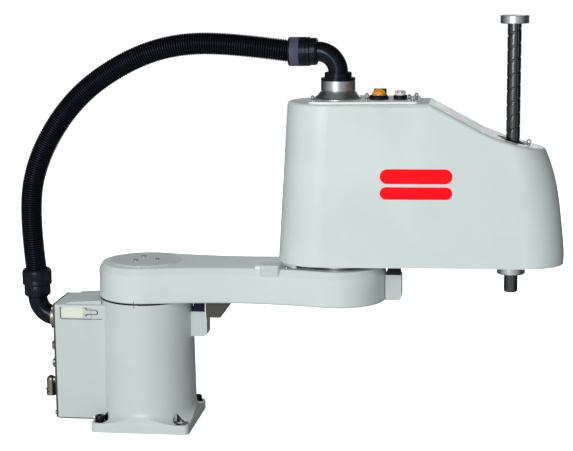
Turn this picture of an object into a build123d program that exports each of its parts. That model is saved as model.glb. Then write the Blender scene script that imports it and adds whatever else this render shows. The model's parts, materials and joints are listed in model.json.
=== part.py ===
from build123d import *

import math
import os

# A four-axis selective-compliance robot arm. The origin is where the first axis meets the
# floor. +X runs along the straight arm, +Z is up, and all sizes are in millimetres.

# ---------------------------------------------------------------- driving dimensions
INNER_REACH = 295.0          # first axis to second axis
OUTER_REACH = 255.0          # second axis to tool shaft
SECOND_AXIS = INNER_REACH
SHAFT_X = INNER_REACH + OUTER_REACH
RUNNING_FIT = 0.05           # radial clearance of a running fit
OPEN_GAP = 0.5               # clearance between parts that turn past each other

# base: plate and column
PLATE_SIDE = 150.0
PLATE_HEIGHT = 14.5
PLATE_CORNER_R = 8.0
BOLT_SPACING = 120.0
BOLT_HOLE_R = 4.5
BOLT_POCKET_R = 11.0
COLUMN_R = 70.5              # at the top
COLUMN_FOOT_R = 73.0         # where the flare begins
COLUMN_FLARE_HEIGHT = 20.0
COLUMN_TOP = 196.6
COLUMN_WALL_R = 62.0         # inside of the column
COLUMN_FLOOR = 12.0
COLUMN_ROOF = 178.0          # underside of the thick top of the column
REDUCER_SEAT_R = 52.0
REDUCER_RING_R = 46.2        # inside of a reducer's ring
OUTPUT_FLANGE_R = 45.5
REAR_WINDOW_Z = (30.0, 160.0)
REAR_WINDOW_HALF_WIDTH = 28.0

# base: connection box behind the column
BOX_REAR = -133.0
BOX_HALF_WIDTH = 44.0
BOX_BOTTOM = 11.5
BOX_TOP = 190.0
BOX_WALL = 4.0
BOX_EDGE_R = 4.0
BOX_CAP_X = (-117.0, -62.0)
BOX_CAP_RISE = (2.5, 5.5)    # at the rear and at the column
SIDE_COVER_X = (-124.5, -77.0)
SIDE_COVER_Z = (167.5, 184.5)
SIDE_COVER_THICKNESS = 1.6
SIDE_COVER_GAP = 0.7
PANEL_THICKNESS = 3.0
PANEL_FACE = BOX_REAR - PANEL_THICKNESS
PANEL_SCREW_PLACES = [(side * 38, z) for side in (-1, 1) for z in (18.5, 99.0, 182.0)]

# what stands on the rear panel: y and z of each
LOWER_ELBOW_Z = 161.0
AIR_FITTING_PLACES = [(-22, 121.0), (-22, 93.0)]
ELBOW_FITTING_PLACE = (-22, 66.0)
POWER_CONNECTOR_PLACE = (16, 112.0)
SIGNAL_CONNECTOR_PLACE = (16, 66.0)
POWER_CONNECTOR = (14.0, 10.0)   # radius and length
SIGNAL_CONNECTOR = (10.0, 9.0)
AIR_TAIL_R = 4.9
AIR_BORE_R = 2.6
ELBOW_TAIL_R = 11.8
ELBOW_NUT_FLATS = 38.0
ELBOW_NUT_BORE_R = 16.6
# radius, y and z of the holes in the rear panel
PANEL_HOLES = [
    (ELBOW_TAIL_R + 0.2, 0, LOWER_ELBOW_Z),
    (AIR_TAIL_R + 0.1, *AIR_FITTING_PLACES[0]),
    (AIR_TAIL_R + 0.1, *AIR_FITTING_PLACES[1]),
    (AIR_TAIL_R + 0.1, *ELBOW_FITTING_PLACE),
    (POWER_CONNECTOR[0] - 1, *POWER_CONNECTOR_PLACE),
    (SIGNAL_CONNECTOR[0] - 1, *SIGNAL_CONNECTOR_PLACE),
]

# inner arm
ARM_BOTTOM = 197.8
ARM_TOP = 251.3
ARM_END_R = 71.0
ARM_WAIST = 51.0             # half of the arm's narrowest width
ARM_BEVEL_HEIGHT = 10.0
ARM_BEVEL_WIDTH = 5.0
ARM_CAP_R = 53.0
ARM_CAP_RISE = 2.0
ARM_POCKET = (62.0, 215.0, 30.0)      # the hollow underneath: two ends and half width
ARM_LID_MARGIN = 3.7                  # by which the hollow's lid is larger, all round
CAP_SCREW_R = 19.0
CAP_SCREW_ANGLES = (-130.0, -12.0, 112.0)
GUARD_X = (97.5, 131.0)
GUARD_HALF_WIDTH = 30.0
GUARD_BOTTOM = 171.0
GUARD_SLANT_X = 119.0        # where the bottom ends and the slanted front begins
GUARD_SLANT_Z = 188.0
GUARD_WALL = 2.0
ZERO_BLOCK_X = (184.0, 212.0)
ZERO_BLOCK_Y = (-57.0, -40.0)
ZERO_BLOCK_TOP = 258.0

# stops: a bracket with a rubber buffer on it, on the column and on the inner arm
BASE_STOP_Z = (137.5, 176.0)
BASE_BUFFER_TOP = 191.0
BASE_STOP_SCREW_Z = 156.0
ARM_STOP_Z = (199.5, 238.0)
ARM_BUFFER_TOP = 256.5
ARM_STOP_SCREW_Z = 219.0
STOP_DEPTH = 24.0
STOP_WIDTH = 28.0
STOP_SCREW_Y = (-7, 7)
STOP_TIP_X = INNER_REACH + ARM_END_R  # the inner arm's tip, which carries the second stop
STOP_RAIL_R = (75.0, 86.0)
STOP_RAIL_HALF_ANGLE = 39.0

# outer arm
COVER_BOTTOM = 258.6
COVER_TOP = 495.7
COVER_WALL = 3.0
COVER_EDGE_R = 5.0
COVER_REAR_R = (68.0, 62.0)   # bottom, top
COVER_SECTIONS = [
    # height, rear end, front tip, radius of the front end
    (COVER_BOTTOM, 205.0, 626.0, 57.0),
    (300.0, 207.7, 624.3, 56.0),
    (345.0, 210.6, 619.0, 55.0),
    (390.0, 213.6, 610.3, 53.5),
    (427.0, 216.0, 597.0, 51.0),
    (462.0, 218.3, 579.0, 47.0),
    (COVER_TOP + 3, 220.7, 556.0, 42.0),
]
FRAME_GAP = 2.9              # between the frame plate and the inside of the cover
FRAME_BOTTOM = 259.2
FRAME_THICKNESS = 12.0
FRAME_TOP = FRAME_BOTTOM + FRAME_THICKNESS
CABLE_HOLE_R = 15.0          # up through the second axis

# drives in the outer arm
Z_MOTOR = (440.0, 31.0)
R_MOTOR = (425.0, -25.0)
MOTOR_SIDE = 42.0
MOTOR_SHAFT_R = 4.0
R_BELT_Z = (302.0, 316.0)
Z_BELT_Z = (354.0, 368.0)
NUT_PULLEY_R = 28.0
MOTOR_PULLEY_R = 12.0
BELT_THICKNESS = 1.6
BELT_GAP = 0.4
BRACKET_PLATE = 6.0
BRACKET_GAP = 12.0           # from a motor's face to its belt
BEARING_R = (17.6, 23.5)     # inner and outer radius of the nuts' bearings
LOWER_BEARING_Z = (FRAME_TOP - 4, FRAME_TOP + 8)
UPPER_BEARING_Z = (374.0, 386.0)
SPLINE_NUT_TOP = 322.0
SCREW_NUT_Z = (350.0, 408.0)

# user panel on the cover
USER_PANEL_X = (257.0, 414.0)
USER_PANEL_MARGIN = 4.5      # from the cover's outline
USER_PANEL_THICKNESS = 3.0
USER_PANEL_TOP = COVER_TOP + USER_PANEL_THICKNESS
USER_PANEL_SCREWS = [(x, y) for x in (264, 406) for y in (-33, 33)]
# x, y and stem radius
PANEL_ITEMS = {
    "lamp": (355.4, -9.5, 8.0),
    "button": (386.7, -9.4, 6.0),
    "socket": (355.0, 24.0, 5.0),
}
SOCKET_HEIGHT = 12.3
LAMP_BEZEL_HEIGHT = 6.3
BUTTON_BEZEL_HEIGHT = 6.5
BUTTON_TOP = USER_PANEL_TOP + 12.8
BUTTON_TRAVEL = 3.0
# eyes that hold tubes and leads: x, y, seat height, ring radius and turn about the upright
TIE_EYES = [
    (339.5, -30.0, USER_PANEL_TOP, 3.7, 52.0),
    (400.5, -27.0, USER_PANEL_TOP, 2.8, 40.0),
    (411.0, -31.0, USER_PANEL_TOP, 4.1, 62.0),
    (261.5, -40.0, USER_PANEL_TOP, 2.4, 40.0),
    (572.5, -20.0, 433.4, 3.0, 20.0),
]
EYE_WIRE_R = 1.0

# tool shaft
SHAFT_R = 10.0
SHAFT_BORE_R = 5.5
SHAFT_BOTTOM = 214.0
SHAFT_TOP = 619.4
SHAFT_CHAMFER = 1.5
COLLAR_R = 20.5
COLLAR_HEIGHT = 11.7
COLLAR_SLIT = 0.8            # half of its clamping slit's width
LOWER_COLLAR_Z = (241.5, 252.0)
TOOL_END_LENGTH = 24.5       # free length of shaft under the lower collar

# hose, its elbows and its couplings
HUB_FOOT_R = 35.0
HUB_R = 25.2
HUB_TOP = 526.0
HUB_BORE_R = 15.5
ELBOW_FLANGE_TOP = 537.6
ELBOW_FLANGE_R = 20.0
ELBOW_LIP_TOP = 529.4
ELBOW_TUBE_R = 14.5
UPPER_ELBOW_BORE_R = 12.0
LOWER_ELBOW_BORE_R = 11.5
UPPER_ELBOW_BEND = 30.0
LOWER_ELBOW_BEND = 31.0
ELBOW_X = -172.0             # the lower coupling's axis
HOSE_R = 16.25
HOSE_BORE_R = 13.5
COUPLING_R = 21.3
COUPLING_COLLAR_R = 20.3
COUPLING_MOUTH_R = 18.0      # the recess in which the hose ends
LOWER_COUPLING_TOP = 235.7

# The hose's route in the plane y = 0, from the lower coupling to the upper one.
HOSE_ROUTE = [
    (-172, 0, 230),
    (-182, 0, 326),
    (-162, 0, 413),
    (-104, 0, 499),
    (-24, 0, 554),
    (55, 0, 580),
    (145, 0, 579),
    (228.5, 0, 567.6),
]


# ---------------------------------------------------------------- small helpers
def at(x, y, z):
    return Pos(x, y, z)


def rod(radius, bottom, top, x=0.0, y=0.0):
    """An upright cylinder between two heights."""
    height = top - bottom
    return at(x, y, bottom + height / 2) * Cylinder(radius, height)


def tube(outer_r, inner_r, bottom, top, x=0.0, y=0.0):
    return rod(outer_r, bottom, top, x, y) - rod(inner_r, bottom - 1, top + 1, x, y)


def block(x0, x1, y0, y1, z0, z1):
    """A box between two corners."""
    centre = at((x0 + x1) / 2, (y0 + y1) / 2, (z0 + z1) / 2)
    return centre * Box(x1 - x0, y1 - y0, z1 - z0)


def rod_along_x(radius, x0, x1, y, z):
    centre = at((x0 + x1) / 2, y, z) * Rot(0, 90, 0)
    return centre * Cylinder(radius, x1 - x0)


def hex_along_x(across_flats, x0, x1, y, z):
    outline = RegularPolygon(across_flats / 2, 6, major_radius=False)
    return at(x0, y, z) * Rot(0, 90, 0) * extrude(outline, x1 - x0)


def turned(profile, x=0.0, y=0.0):
    """A solid of revolution about the upright axis, from (radius, height) corners."""
    outline = make_face(Polyline(*[(r, 0, z) for r, z in profile], close=True))
    return at(x, y, 0) * revolve(outline, Axis.Z)


def cap_screw(x, y, seat, head_r=3.5, head_height=4.0, shank_r=2.0, shank=8.0):
    """A socket-head screw standing on a seat at the given height."""
    head = rod(head_r, seat, seat + head_height, x, y)
    socket = at(x, y, seat + head_height / 2) * extrude(RegularPolygon(head_r * 0.5, 6), head_height)
    return head - socket + rod(shank_r, seat - shank, seat, x, y)


def cap_screw_along_x(x_seat, y, z, head_r=3.5, head_height=3.0, shank_r=1.8, shank=5.0):
    """A socket-head screw whose head points to -X from a seat at x_seat."""
    head = rod_along_x(head_r, x_seat - head_height, x_seat, y, z)
    socket = hex_along_x(head_r, x_seat - head_height - 1, x_seat - head_height / 2, y, z)
    return head - socket + rod_along_x(shank_r, x_seat, x_seat + shank, y, z)


def tapered_slot(x_rear, r_rear, x_front, r_front):
    """The outline of two unlike circles joined by their outer tangents."""
    lean = math.asin((r_rear - r_front) / (x_front - x_rear))
    rear = (x_rear + r_rear * math.sin(lean), r_rear * math.cos(lean))
    front = (x_front + r_front * math.sin(lean), r_front * math.cos(lean))
    rear_arc = ThreePointArc((rear[0], -rear[1]), (x_rear - r_rear, 0), rear)
    front_arc = ThreePointArc(front, (x_front + r_front, 0), (front[0], -front[1]))
    sides = [Line(rear, front), Line((front[0], -front[1]), (rear[0], -rear[1]))]
    return make_face([rear_arc, sides[0], front_arc, sides[1]])


def compound(solids):
    return Compound(children=list(solids))


# ---------------------------------------------------------------- base
def column_envelope():
    """The outside of the column, from the floor to its top, with its flared foot."""
    foot_flare_r = PLATE_SIDE / 2 + 15
    flare_start = PLATE_HEIGHT + COLUMN_FLARE_HEIGHT
    outline = make_face([
        Line((0, 0, 0), (foot_flare_r, 0, 0)),
        Line((foot_flare_r, 0, 0), (foot_flare_r, 0, PLATE_HEIGHT + 0.5)),
        ThreePointArc(
            (foot_flare_r, 0, PLATE_HEIGHT + 0.5),
            (COLUMN_FOOT_R + 5, 0, PLATE_HEIGHT + 6),
            (COLUMN_FOOT_R, 0, flare_start),
        ),
        Line((COLUMN_FOOT_R, 0, flare_start), (COLUMN_R, 0, COLUMN_TOP)),
        Line((COLUMN_R, 0, COLUMN_TOP), (0, 0, COLUMN_TOP)),
        Line((0, 0, COLUMN_TOP), (0, 0, 0)),
    ])
    return revolve(outline, Axis.Z)


def bolt_places():
    half = BOLT_SPACING / 2
    return [(x, y) for x in (-half, half) for y in (-half, half)]


def base_casting():
    plate = extrude(RectangleRounded(PLATE_SIDE, PLATE_SIDE, PLATE_CORNER_R), PLATE_HEIGHT)
    plate = fillet(plate.faces().sort_by(Axis.Z)[-1].edges(), 1.5)
    square = extrude(RectangleRounded(PLATE_SIDE - 1, PLATE_SIDE - 1, PLATE_CORNER_R), COLUMN_TOP)
    body = plate + (column_envelope() & square)
    body = fillet(body.faces().sort_by(Axis.Z)[-1].edges(), 1.0)
    body -= rod(COLUMN_WALL_R, COLUMN_FLOOR, COLUMN_ROOF)
    body -= rod(REDUCER_SEAT_R, COLUMN_ROOF - 1, COLUMN_TOP + 1)
    window = REAR_WINDOW_HALF_WIDTH
    body -= block(BOX_REAR, -COLUMN_WALL_R + 8, -window, window, *REAR_WINDOW_Z)
    for x, y in bolt_places():
        body -= rod(BOLT_HOLE_R, -1, PLATE_HEIGHT + 1, x, y)
        body -= rod(BOLT_POCKET_R, PLATE_HEIGHT, PLATE_HEIGHT + 60, x, y)
    body -= bracket_screw_holes()
    return body


def rear_box():
    outer = block(BOX_REAR, -50, -BOX_HALF_WIDTH, BOX_HALF_WIDTH, BOX_BOTTOM, BOX_TOP)
    outer = fillet(outer.edges().filter_by(Axis.X).group_by(Axis.Z)[-1], BOX_EDGE_R)
    inner_half = BOX_HALF_WIDTH - BOX_WALL
    inner = block(BOX_REAR - 1, -49, -inner_half, inner_half, BOX_BOTTOM + BOX_WALL, BOX_TOP - BOX_WALL)
    box = outer - inner
    for y, z in PANEL_SCREW_PLACES:
        side = 1 if y > 0 else -1
        low, high = sorted((side * 34, side * (BOX_HALF_WIDTH - 1)))
        box += block(BOX_REAR, BOX_REAR + 10, low, high, z - 5, z + 5)
        box -= rod_along_x(1.9, BOX_REAR - 1, BOX_REAR + 8, y, z)
    box -= column_envelope()
    box -= block(-PLATE_SIDE / 2 - 0.3, 0, -90, 90, 0, PLATE_HEIGHT + 0.2)
    for side in (-1, 1):
        wall = side * BOX_HALF_WIDTH
        depth, gap = SIDE_COVER_THICKNESS, SIDE_COVER_GAP
        box -= block(SIDE_COVER_X[0] - gap, SIDE_COVER_X[1] + gap, wall - depth, wall + depth,
                     SIDE_COVER_Z[0] - gap, SIDE_COVER_Z[1] + gap)
    return biggest(box)


def biggest(shape):
    return max(shape.solids(), key=lambda s: s.volume)


def side_cover(side):
    """A thin cover plate in a shallow pocket high on the side of the box, with a finger tab."""
    wall = side * BOX_HALF_WIDTH
    low, high = sorted((wall - side * SIDE_COVER_THICKNESS, wall))
    plate = block(*SIDE_COVER_X, low, high, *SIDE_COVER_Z)
    slot = block(SIDE_COVER_X[0] + 34, SIDE_COVER_X[1] + 1, low - 1, high + 1,
                 SIDE_COVER_Z[0] + 7, SIDE_COVER_Z[0] + 8.2)
    return plate - slot


def rear_box_cap():
    """A raised cap on top of the box, a little higher towards the column."""
    rear, front = BOX_CAP_X
    low, high = BOX_CAP_RISE
    outline = make_face(Polyline((rear, 0, BOX_TOP), (front, 0, BOX_TOP), (front, 0, BOX_TOP + high),
                                 (rear + 5, 0, BOX_TOP + low), close=True))
    cap = extrude(outline, BOX_HALF_WIDTH - 5, both=True)
    cap -= rod(COLUMN_R + 0.2, BOX_TOP - 1, COLUMN_TOP + 1)
    return biggest(cap)


def rear_panel():
    half = BOX_HALF_WIDTH
    panel = block(BOX_REAR - PANEL_THICKNESS, BOX_REAR, -half, half, BOX_BOTTOM, BOX_TOP)
    panel = fillet(panel.edges().filter_by(Axis.X), BOX_EDGE_R)
    for hole_r, y, z in PANEL_HOLES:
        panel -= rod_along_x(hole_r, BOX_REAR - 10, BOX_REAR + 5, y, z)
    for y, z in PANEL_SCREW_PLACES:
        panel -= rod_along_x(2.1, BOX_REAR - 10, BOX_REAR + 5, y, z)
    return panel


def panel_screws():
    return [cap_screw_along_x(PANEL_FACE, y, z) for y, z in PANEL_SCREW_PLACES]


def air_fitting(y, z):
    """A push-in air fitting: hexagon body, threaded tail through the panel and a release ring."""
    body = hex_along_x(13.5, PANEL_FACE - 7, PANEL_FACE, y, z)
    tail = rod_along_x(AIR_TAIL_R, PANEL_FACE, BOX_REAR + 9, y, z)
    ring = rod_along_x(5.2, PANEL_FACE - 9, PANEL_FACE - 7, y, z)
    return body + tail + ring - rod_along_x(AIR_BORE_R, PANEL_FACE - 10, BOX_REAR + 10, y, z)


def elbow_fitting():
    """A right-angle air fitting that turns down behind the panel."""
    y, z = ELBOW_FITTING_PLACE
    x = PANEL_FACE - 13
    stub = rod_along_x(AIR_TAIL_R, x, BOX_REAR + 9, y, z) + hex_along_x(13, PANEL_FACE - 5, PANEL_FACE, y, z)
    dome = at(x, y, z) * Sphere(6.8)
    down = rod(6.8, z - 14, z, x, y)
    ring = rod(8.2, z - 16.5, z - 13.5, x, y) + rod(5.5, z - 18.5, z - 16.4, x, y)
    collet = rod(7.8, z - 24, z - 18.4, x, y)
    return stub + dome + down + ring + collet - rod(AIR_BORE_R, z - 25, z - 10, x, y)


def round_connector(radius, length, y, z):
    """A round multi-pole socket on a square flange."""
    flange = at(PANEL_FACE - 1.5, y, z) * Box(3, 2 * radius + 6, 2 * radius + 6)
    shell = rod_along_x(radius, PANEL_FACE - length, PANEL_FACE, y, z)
    shell -= rod_along_x(radius - 2, PANEL_FACE - length - 1, PANEL_FACE - 4, y, z)
    tail = rod_along_x(radius - 1.2, PANEL_FACE, BOX_REAR + 12, y, z)
    return flange + shell + tail


def stop_bracket(x_inner, z_low, z_high, depth):
    """A painted stop bracket whose lower outer edge is rounded."""
    bracket = block(x_inner, x_inner + depth, -STOP_WIDTH / 2, STOP_WIDTH / 2, z_low, z_high)
    low_edges = bracket.edges().filter_by(Axis.Y).group_by(Axis.Z)[0]
    return fillet(low_edges.sort_by(Axis.X)[-1], 6)


def bracket_screw_holes():
    """Two tapped holes for the stop bracket in the front of the column."""
    z = BASE_STOP_SCREW_Z
    holes = [rod_along_x(2.5, COLUMN_WALL_R + 0.5, COLUMN_R + 8, y, z) for y in STOP_SCREW_Y]
    return holes[0] + holes[1]


def base_stop_bracket():
    seat = stop_bracket(COLUMN_R - 0.5, *BASE_STOP_Z, STOP_DEPTH + 1)
    seat -= column_envelope()
    for y in STOP_SCREW_Y:
        seat -= rod_along_x(2.7, COLUMN_R - 4, COLUMN_R + 30, y, BASE_STOP_SCREW_Z)
        seat -= rod_along_x(4.7, COLUMN_R + 20, COLUMN_R + 30, y, BASE_STOP_SCREW_Z)
    return biggest(seat)


def side_screws(x_seat, z, length):
    """Two socket-head screws that hold a stop bracket, with their heads towards +X."""
    screws = []
    for y in STOP_SCREW_Y:
        head = rod_along_x(4.2, x_seat, x_seat + 3.5, y, z)
        socket = hex_along_x(4, x_seat + 1.5, x_seat + 5, y, z)
        screws.append(head - socket + rod_along_x(2.3, x_seat - length, x_seat, y, z))
    return screws


def rubber_buffer(x_inner, z_low, z_high, width=26.0, depth=20.0):
    """A rubber block of two steps that stands on a stop bracket."""
    foot = block(x_inner + 0.5, x_inner + depth + 0.5, -width / 2, width / 2, z_low, z_low + 5)
    head = block(x_inner + 3, x_inner + depth, -width / 2 + 2, width / 2 - 2, z_low + 5, z_high)
    return foot + head


def lower_elbow():
    """The rigid elbow that takes the hose into the rear panel."""
    centre_x, top_z = ELBOW_X + LOWER_ELBOW_BEND, LOWER_ELBOW_Z + LOWER_ELBOW_BEND
    middle = LOWER_ELBOW_BEND * math.cos(math.radians(45))
    path = ThreePointArc((ELBOW_X, 0, top_z), (centre_x - middle, 0, top_z - middle),
                         (centre_x, 0, LOWER_ELBOW_Z))
    ring = Circle(ELBOW_TUBE_R) - Circle(LOWER_ELBOW_BORE_R)
    bend = sweep(Plane(origin=(ELBOW_X, 0, top_z), z_dir=(0, 0, -1)) * ring, path)
    tail = rod_along_x(ELBOW_TAIL_R, centre_x - 1, BOX_REAR + 14, 0, LOWER_ELBOW_Z)
    tail -= rod_along_x(9.5, centre_x - 2, BOX_REAR + 15, 0, LOWER_ELBOW_Z)
    return bend + tail


def lower_elbow_nut():
    """The hexagon nut and collar that clamp the elbow to the rear panel."""
    step, end = PANEL_FACE - 7.5, PANEL_FACE - 12.5
    nut = hex_along_x(ELBOW_NUT_FLATS, step, PANEL_FACE, 0, LOWER_ELBOW_Z)
    nut += rod_along_x(ELBOW_NUT_FLATS / 2 - 0.5, end, step, 0, LOWER_ELBOW_Z)
    nut -= rod_along_x(ELBOW_NUT_BORE_R, end - 1, PANEL_FACE - 2.8, 0, LOWER_ELBOW_Z)
    return nut - rod_along_x(ELBOW_TAIL_R + 0.3, end - 1, PANEL_FACE + 1, 0, LOWER_ELBOW_Z)


def lower_coupling():
    """The screwed hose coupling above the lower elbow."""
    bottom, top = LOWER_ELBOW_Z + LOWER_ELBOW_BEND, LOWER_COUPLING_TOP
    bore, mouth, floor = LOWER_ELBOW_BORE_R, COUPLING_MOUTH_R, HOSE_ROUTE[0][2] - 2.5
    profile = [(bore, bottom), (15.5, bottom), (20, bottom + 4), (20, bottom + 18), (22.4, bottom + 20),
               (22.4, top - 3.7), (19.8, top), (mouth, top), (mouth, floor), (bore, floor)]
    return turned(profile, ELBOW_X)


def hose_tube():
    """The hose between its two couplings: straight runs joined by tangent arcs."""
    points = [Vector(*p) for p in HOSE_ROUTE]
    radii = []
    for before, here, after in zip(points, points[1:], points[2:]):
        turn = (here - before).get_angle(after - here)
        run = min((here - before).length, (after - here).length)
        radii.append(0.45 * run / math.tan(math.radians(turn / 2)))
    print("hose radii", [round(r) for r in radii])
    path = FilletPolyline(*points, radius=radii)
    start = Plane(origin=points[0], z_dir=points[1] - points[0])
    hose = sweep(start * (Circle(HOSE_R) - Circle(HOSE_BORE_R)), path)
    expected = math.pi * (HOSE_R ** 2 - HOSE_BORE_R ** 2) * path.length
    print("hose length", round(path.length, 1), "volume ratio", round(hose.volume / expected, 4))
    return hose


def j1_motor():
    """The servo motor of the first axis, upright inside the column."""
    flange = extrude(RectangleRounded(76, 76, 8), 8)
    body = extrude(RectangleRounded(72, 72, 10), 88)
    brake = rod(30, 40, 52)
    shaft = rod(7, 156, 172)
    return at(0, 0, 148) * flange + at(0, 0, 60) * body + at(0, 0, 8) * brake + shaft


def reducer(top, body_height):
    """The fixed part of a strain-wave reducer: flange ring and circular spline."""
    outer_r, shaft_hole_r = REDUCER_SEAT_R - 0.2, 7.5
    ring = tube(outer_r, REDUCER_RING_R, top - body_height, top - 3)
    floor = tube(outer_r, shaft_hole_r, top - body_height, top - body_height + 4)
    return ring + floor


# ---------------------------------------------------------------- inner arm
def arm_outline():
    """A dog-bone: two round ends joined by hollow flanks of one large radius."""
    half = INNER_REACH / 2
    flank_r = (half ** 2 + ARM_WAIST ** 2 - ARM_END_R ** 2) / (2 * (ARM_END_R - ARM_WAIST))
    lean = math.atan2(half, ARM_WAIST + flank_r)
    x, y = ARM_END_R * math.sin(lean), ARM_END_R * math.cos(lean)
    return make_face([
        ThreePointArc((x, -y), (-ARM_END_R, 0), (x, y)),
        ThreePointArc((x, y), (half, ARM_WAIST), (INNER_REACH - x, y)),
        ThreePointArc((INNER_REACH - x, y), (INNER_REACH + ARM_END_R, 0), (INNER_REACH - x, -y)),
        ThreePointArc((INNER_REACH - x, -y), (half, -ARM_WAIST), (x, -y)),
    ])


def inner_arm_casting():
    arm = inner_arm_blank()
    arm = fillet(arm.faces().sort_by(Axis.Z)[-1].edges(), 2)
    arm = fillet(arm.faces().sort_by(Axis.Z)[0].edges(), 4)
    arm -= rod(ARM_CAP_R - 1, ARM_TOP - 8, ARM_TOP + 1)
    arm -= rod(26, ARM_BOTTOM - 1, ARM_TOP)
    arm -= rod(REDUCER_SEAT_R, ARM_TOP - 34, ARM_TOP + 1, SECOND_AXIS)
    arm -= rod(30, ARM_BOTTOM + 6, ARM_TOP, SECOND_AXIS)
    rear, front, half = ARM_POCKET
    lid = ARM_LID_MARGIN + 0.3
    arm -= block(rear, front, -half, half, ARM_BOTTOM + 1.9, ARM_TOP - 9)
    arm -= block(rear - lid, front + lid, -half - lid, half + lid, ARM_BOTTOM - 1, ARM_BOTTOM + 2)
    for y in STOP_SCREW_Y:
        arm -= rod_along_x(2.5, STOP_TIP_X - 9, STOP_TIP_X + 3, y, ARM_STOP_SCREW_Z)
    return arm


def underside_cover():
    """The sheet that closes the hollow under the inner arm."""
    rear, front, half = ARM_POCKET
    lid = ARM_LID_MARGIN
    plate = block(rear - lid, front + lid, -half - lid, half + lid, ARM_BOTTOM, ARM_BOTTOM + 1.8)
    return fillet(plate.edges().filter_by(Axis.Z), 3)


def first_axis_cap():
    disc = rod(ARM_CAP_R, ARM_TOP, ARM_TOP + ARM_CAP_RISE)
    disc = chamfer(disc.faces().sort_by(Axis.Z)[-1].edges(), 0.8)
    spigot = rod(ARM_CAP_R - 1.5, ARM_TOP - 3, ARM_TOP)
    cap = disc + spigot
    for x, y in cap_screw_places():
        cap -= rod(1.8, ARM_TOP - 4, ARM_TOP + 4, x, y)
    return cap


def cap_screw_places():
    angles = [math.radians(angle) for angle in CAP_SCREW_ANGLES]
    return [(CAP_SCREW_R * math.cos(a), CAP_SCREW_R * math.sin(a)) for a in angles]


def first_axis_cap_screws():
    return compound(cap_screw(x, y, ARM_TOP + ARM_CAP_RISE, 3.0, 1.8, 1.7, 6) for x, y in cap_screw_places())


def j1_output_flange():
    """The turning output of the first reducer, bolted under the inner arm."""
    flange = rod(OUTPUT_FLANGE_R, COLUMN_ROOF + 6, ARM_BOTTOM)
    return flange - rod(18, COLUMN_ROOF, ARM_BOTTOM + 1)


def cable_guard():
    """A dark box under the inner arm just in front of the base stop, with a slanted front."""
    return guard_prism(0.0, ARM_BOTTOM) - guard_prism(GUARD_WALL, ARM_BOTTOM + 1)


def guard_prism(inset, top):
    (rear, front), low = GUARD_X, GUARD_BOTTOM + inset
    corners = [(rear + inset, low), (GUARD_SLANT_X - inset * 0.5, low), (front - inset, GUARD_SLANT_Z),
               (front - inset, top), (rear + inset, top)]
    outline = make_face(Polyline(*[(x, 0, z) for x, z in corners], close=True))
    return extrude(outline, GUARD_HALF_WIDTH - inset, both=True)


def zero_mark_block():
    """The small light block on the arm's near top edge that marks the second axis's zero."""
    body = block(*ZERO_BLOCK_X, *ZERO_BLOCK_Y, ARM_TOP - 9.5, ZERO_BLOCK_TOP)
    body = chamfer(body.edges().filter_by(Axis.Z).sort_by(Axis.Y)[:2], 2)
    return biggest(body - inner_arm_blank())


def inner_arm_blank():
    """The arm's outside with its bevelled top edge and without its holes."""
    blank = extrude(at(0, 0, ARM_BOTTOM) * arm_outline(), ARM_TOP - ARM_BOTTOM)
    top = blank.faces().sort_by(Axis.Z)[-1]
    return chamfer(top.edges(), ARM_BEVEL_WIDTH, ARM_BEVEL_HEIGHT, reference=top)


def arm_stop_bracket():
    seat = stop_bracket(STOP_TIP_X - 0.5, *ARM_STOP_Z, STOP_DEPTH)
    seat -= rod(ARM_END_R, ARM_BOTTOM, ARM_TOP, SECOND_AXIS)
    for y in STOP_SCREW_Y:
        seat -= rod_along_x(2.7, STOP_TIP_X - 10, STOP_TIP_X + 40, y, ARM_STOP_SCREW_Z)
        seat -= rod_along_x(4.7, STOP_TIP_X + 19.5, STOP_TIP_X + 40, y, ARM_STOP_SCREW_Z)
    return biggest(seat)


# ---------------------------------------------------------------- outer arm
def cover_outline(section, inset):
    height, rear, front, front_r = section
    share = (height - COVER_BOTTOM) / (COVER_TOP - COVER_BOTTOM)
    rear_r = COVER_REAR_R[0] + share * (COVER_REAR_R[1] - COVER_REAR_R[0])
    return tapered_slot(rear + rear_r, rear_r - inset, front - front_r, front_r - inset)


def cover_envelope(inset=0.0):
    """The outer arm's drafted body, cut to its side profile: flat, then a nose that slopes down."""
    sections = [at(0, 0, s[0]) * cover_outline(s, inset) for s in COVER_SECTIONS]
    body = loft(sections)
    top = COVER_TOP - inset
    slope_start = (430 - inset * 0.3, 0, top)
    slope_end = (505 - inset * 0.3, 0, 455.5 - inset)
    nose = ThreePointArc(slope_end, (549, 0, 438.6 - inset), (597, 0, 428.4 - inset))
    tail_end = (700, 0, 411 - inset)
    outline = make_face([
        Line((150, 0, 200), (150, 0, top)),
        Line((150, 0, top), slope_start),
        Line(slope_start, slope_end),
        nose,
        Line((597, 0, 428.4 - inset), tail_end),
        Line(tail_end, (700, 0, 200)),
        Line((700, 0, 200), (150, 0, 200)),
    ])
    return body & extrude(outline, 120, both=True)


def outer_arm_cover():
    """The moulded cover, open underneath, with holes for what stands on it."""
    outside = cover_envelope()
    top_edges = [e for e in outside.edges() if is_top_edge(e)]
    outside = fillet(top_edges, COVER_EDGE_R)
    cover = outside - cover_envelope(COVER_WALL)
    cover -= rod(COLLAR_R + 1.5, COVER_BOTTOM, COVER_TOP, SHAFT_X)
    cover -= rod(HUB_R - 4, COVER_TOP - 10, COVER_TOP + 5, SECOND_AXIS)
    for x, y, hole_r in PANEL_ITEMS.values():
        cover -= rod(hole_r + 0.2, COVER_TOP - 10, COVER_TOP + 5, x, y)
    return biggest(cover)


def is_top_edge(edge):
    """Edges round the flat top and the nose, but not the lines that cross them."""
    low = min(v.Z for v in edge.vertices())
    box = edge.bounding_box()
    crosses = box.size.Y > 60 and box.size.X < 1
    return low > 400 and not crosses


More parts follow.
